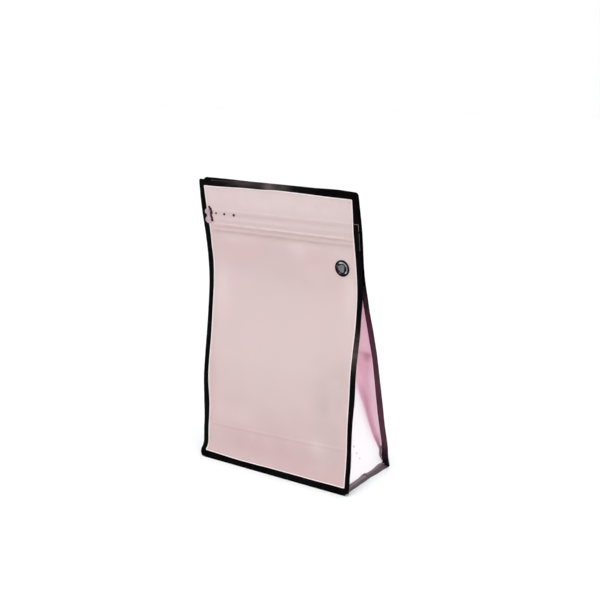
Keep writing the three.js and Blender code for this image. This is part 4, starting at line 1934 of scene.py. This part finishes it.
@dataclass
class SmallMarks:
    """The painted highlight on the cut edge in the right weld, painted glints along the top weld's edges, and
    the right gusset's specks and its pleat in painted shade.
    """

    shape: PouchShape = SHAPE
    # The cut edge's height, and where the pale and the grey stretch of its painted highlight end down the
    # weld's side.
    notch_z: float = 199.8
    bright_low: float = 195.0
    edge_low: float = 181.0
    # Where short painted glints start and end along the top, and where the longer painted glint of the lip
    # does.
    glints: tuple[tuple[float, float], ...] = ((-34.0, -28.0), (34.5, 38.5))
    lip: tuple[float, float] = (-57.5, -33.5)
    # The specks' places as (y, z).
    speck_seats: tuple[tuple[float, float], ...] = ((-12.1, 31.0), (-9.0, 24.7), (-5.5, 19.4))
    speck_radius: float = 0.8
    pleat_radius: float = 0.8
    pleat_ends: tuple[float, float] = (6.0, 19.0)
    pleat_curl: float = 2.4

    def build(self, gusset: SideGussets) -> list[bpy.types.Object]:
        """Makes the pieces.

        Args:
            gusset: the right gusset, whose line the specks and the pleat follow.

        Returns:
            The thin lines, the specks and the pleat.
        """
        edge = float(self.shape.edge(Panel.FRONT, Side.RIGHT, self.bright_low)) + 0.02
        x = np.concatenate([np.linspace(64.4, edge, 12), np.full(10, edge)])
        z = np.concatenate([np.full(12, self.notch_z), np.linspace(self.notch_z - 0.3, self.bright_low, 10)])
        made = [self.line("cut_edge", x, z, 0.08, 0.15, Finish.CUT_EDGE)]
        z = np.linspace(self.bright_low - 1.5, self.edge_low, 24)
        made.append(self.line("layer_edge", np.full(24, edge), z, 0.0, 0.24, Finish.LAYER_EDGE))
        for number, (start, end) in enumerate(self.glints, 1):
            x = np.linspace(start, end, 8)
            z = FRONT_TOP(x) - 0.25
            made.append(self.line(f"top_glint_{number}", x, z, 0.1, 0.16, Finish.LAYER_EDGE))
        x = np.linspace(*self.lip, 30)
        made.append(self.line("front_top_lip", x, FRONT_TOP(x) - 0.12, 0.12, 0.2, Finish.LAYER_EDGE))
        return [finished(piece) for piece in made] + [self.specks(gusset), self.pleat(gusset)]

    def line(
        self, name: str, x: np.ndarray, z: np.ndarray, lift: float, radius: float, finish: Finish
    ) -> bpy.types.Object:
        """Makes a thin line that follows the front panel, lifted off it."""
        return bead(name, self.shape.on_panel(Panel.FRONT, x, z, lift), radius, finish)

    def specks(self, gusset: SideGussets) -> bpy.types.Object:
        """Makes the three faint specks low on the right gusset.

        Args:
            gusset: the right gusset.

        Returns:
            The piece.
        """
        seats = []
        for y, z in self.speck_seats:
            line = gusset.outline(Side.RIGHT, z)
            seats.append([float(np.interp(y, line[:, 1], line[:, 0])), y, z])
        specks = dots("gusset_specks", np.array(seats), Finish.SPECK, self.speck_radius, 0.6, -0.1, 20)
        return finished(specks)

    def pleat(self, gusset: SideGussets) -> bpy.types.Object:
        """Makes the small curled pleat at the foot of the right gusset's back wall.

        Args:
            gusset: the right gusset.

        Returns:
            The piece.
        """
        low, high = self.pleat_ends
        points = []
        for height in np.linspace(low, high, 18):
            x, y = gusset.outline(Side.RIGHT, float(height))[-1]
            curl = self.pleat_curl * math.sin((height - low) / (high - low) * math.pi)
            points.append([x - 0.1, y - 0.9 - curl, height])
        pleat = bead("gusset_pleat", np.array(points), self.pleat_radius, Finish.PLEAT, sides=12)
        return finished(pleat)


# --- Studio ---


@dataclass(frozen=True)
class Lamp:
    """A wide soft light from far away.

    Attributes:
        name: its name.
        towards: the direction from the pouch to it.
        strength: how strong it is.
        soft_deg: how wide it looks from the pouch.
        spares_floor: whether it lights the pouch alone, so that no long shadow lies on the floor.
        floor_only: whether it lights the floor alone, so that the floor stays pale round the foot.
    """

    name: str
    towards: tuple[float, float, float]
    strength: float
    soft_deg: float
    spares_floor: bool = False
    floor_only: bool = False

    def hang(self, floor: bpy.types.Object) -> None:
        """Adds the light to the scene.

        Args:
            floor: the floor, which some of the lights leave alone.
        """
        data = bpy.data.lights.new(self.name, "SUN")
        data.energy = self.strength * math.pi
        data.angle = math.radians(self.soft_deg)
        made = bpy.data.objects.new(self.name, data)
        made.rotation_mode = "QUATERNION"
        made.rotation_quaternion = Vector(self.towards).to_track_quat("Z", "Y")
        bpy.context.scene.collection.objects.link(made)
        if self.spares_floor or self.floor_only:
            chosen = bpy.data.collections.new(f"{self.name}_reach")
            chosen.objects.link(floor)
            made.light_linking.receiver_collection = chosen
            state = "EXCLUDE" if self.spares_floor else "INCLUDE"
            chosen.collection_objects[0].light_linking.link_state = state


@dataclass
class Studio:
    """A pale floor, a pale surround, soft lights and the photograph's camera."""

    camera_at: tuple[float, float, float] = (388.4, -577.0, 301.55)
    camera_to: tuple[float, float, float] = (6.2, 0.0, 133.55)
    lens: float = 55.96
    sensor: float = 36.0
    surround: float = 0.68
    surround_colour: tuple[float, float, float, float] = (1.0, 0.992, 1.0, 1.0)
    floor_reach: float = 6.0
    lamps: tuple[Lamp, ...] = (
        Lamp("overhead", (0.1, -0.2, 1.0), 0.42, 40),
        Lamp("right_rear_key", (0.8, 0.56, 0.3), 0.06, 18, spares_floor=True),
        Lamp("front_right_fill", (0.75, -0.75, 0.75), 0.16, 14, spares_floor=True),
        Lamp("floor_wash", (0.5, -0.6, 1.0), 0.09, 60, floor_only=True),
    )

    def build(self) -> None:
        """Makes the whole studio."""
        floor = self.floor()
        self.air()
        for lamp in self.lamps:
            lamp.hang(floor)
        self.camera()

    def floor(self) -> bpy.types.Object:
        """Lays the pale floor.

        Returns:
            The floor.
        """
        look = Surface("pale_floor")
        cloud = look.ranged(look.spotty(900, 2), 0.3, 0.7)
        look.set(Base_Color=look.mixed(cloud, (246, 250, 252), (248, 252, 253)))
        look.set(Roughness=0.9, Specular_IOR_Level=0.05)
        reach = self.floor_reach
        corners = [(-reach, -reach, 0), (reach, -reach, 0), (reach, reach, 0), (-reach, reach, 0)]
        floor = loose_piece("floor", np.array(corners) / MM, faces=[(0, 1, 2, 3)])
        floor.data.materials.append(look.material)
        return floor

    def air(self) -> None:
        """Sets the pale surround and the colour handling."""
        world = bpy.data.worlds.new("pale_surround")
        world.use_nodes = True
        graph = Graph(world.node_tree)
        background = world.node_tree.nodes["Background"]
        background.inputs["Color"].default_value = self.surround_colour
        background.inputs["Strength"].default_value = self.surround
        seen = graph.out("ShaderNodeBackground", {"Color": (1.0, 1.0, 1.0, 1.0), "Strength": 1.0})
        path = graph.node("ShaderNodeLightPath").outputs["Is Camera Ray"]
        both = graph.out("ShaderNodeMixShader", {0: path, 1: background.outputs[0], 2: seen})
        world.node_tree.links.new(both, world.node_tree.nodes["World Output"].inputs["Surface"])
        bpy.context.scene.world = world
        bpy.context.scene.view_settings.view_transform = "Standard"

    def camera(self) -> None:
        """Places the camera as the photograph has it."""
        data = bpy.data.cameras.new("photo_camera")
        data.lens = self.lens
        data.sensor_width = self.sensor
        made = bpy.data.objects.new("photo_camera", data)
        here, there = Vector(self.camera_at) * MM, Vector(self.camera_to) * MM
        made.location = here
        made.rotation_mode = "QUATERNION"
        made.rotation_quaternion = (there - here).to_track_quat("-Z", "Y")
        bpy.context.scene.collection.objects.link(made)
        bpy.context.scene.camera = made


def main() -> None:
    """Builds the studio and every piece of the pouch, in order."""
    logging.basicConfig(level=logging.INFO, format="%(name)s: %(message)s")
    Studio().build()
    panels, frames = FilmPanels(), WeldedFrames()
    gussets, inner, skirts = SideGussets(), InnerWelds(), SideSkirts()
    for panel in Panel:
        panels.build(panel)
    for side in Side:
        gussets.build(side)
    BasePanel().build()
    for panel in Panel:
        frames.build(panel)
    for side in Side:
        inner.build(side)
    for side in Side:
        skirts.build(side)
    AirValve().build()
    CutMark().build()
    SmallMarks().build(gussets)


if __name__ == "__main__":
    main()
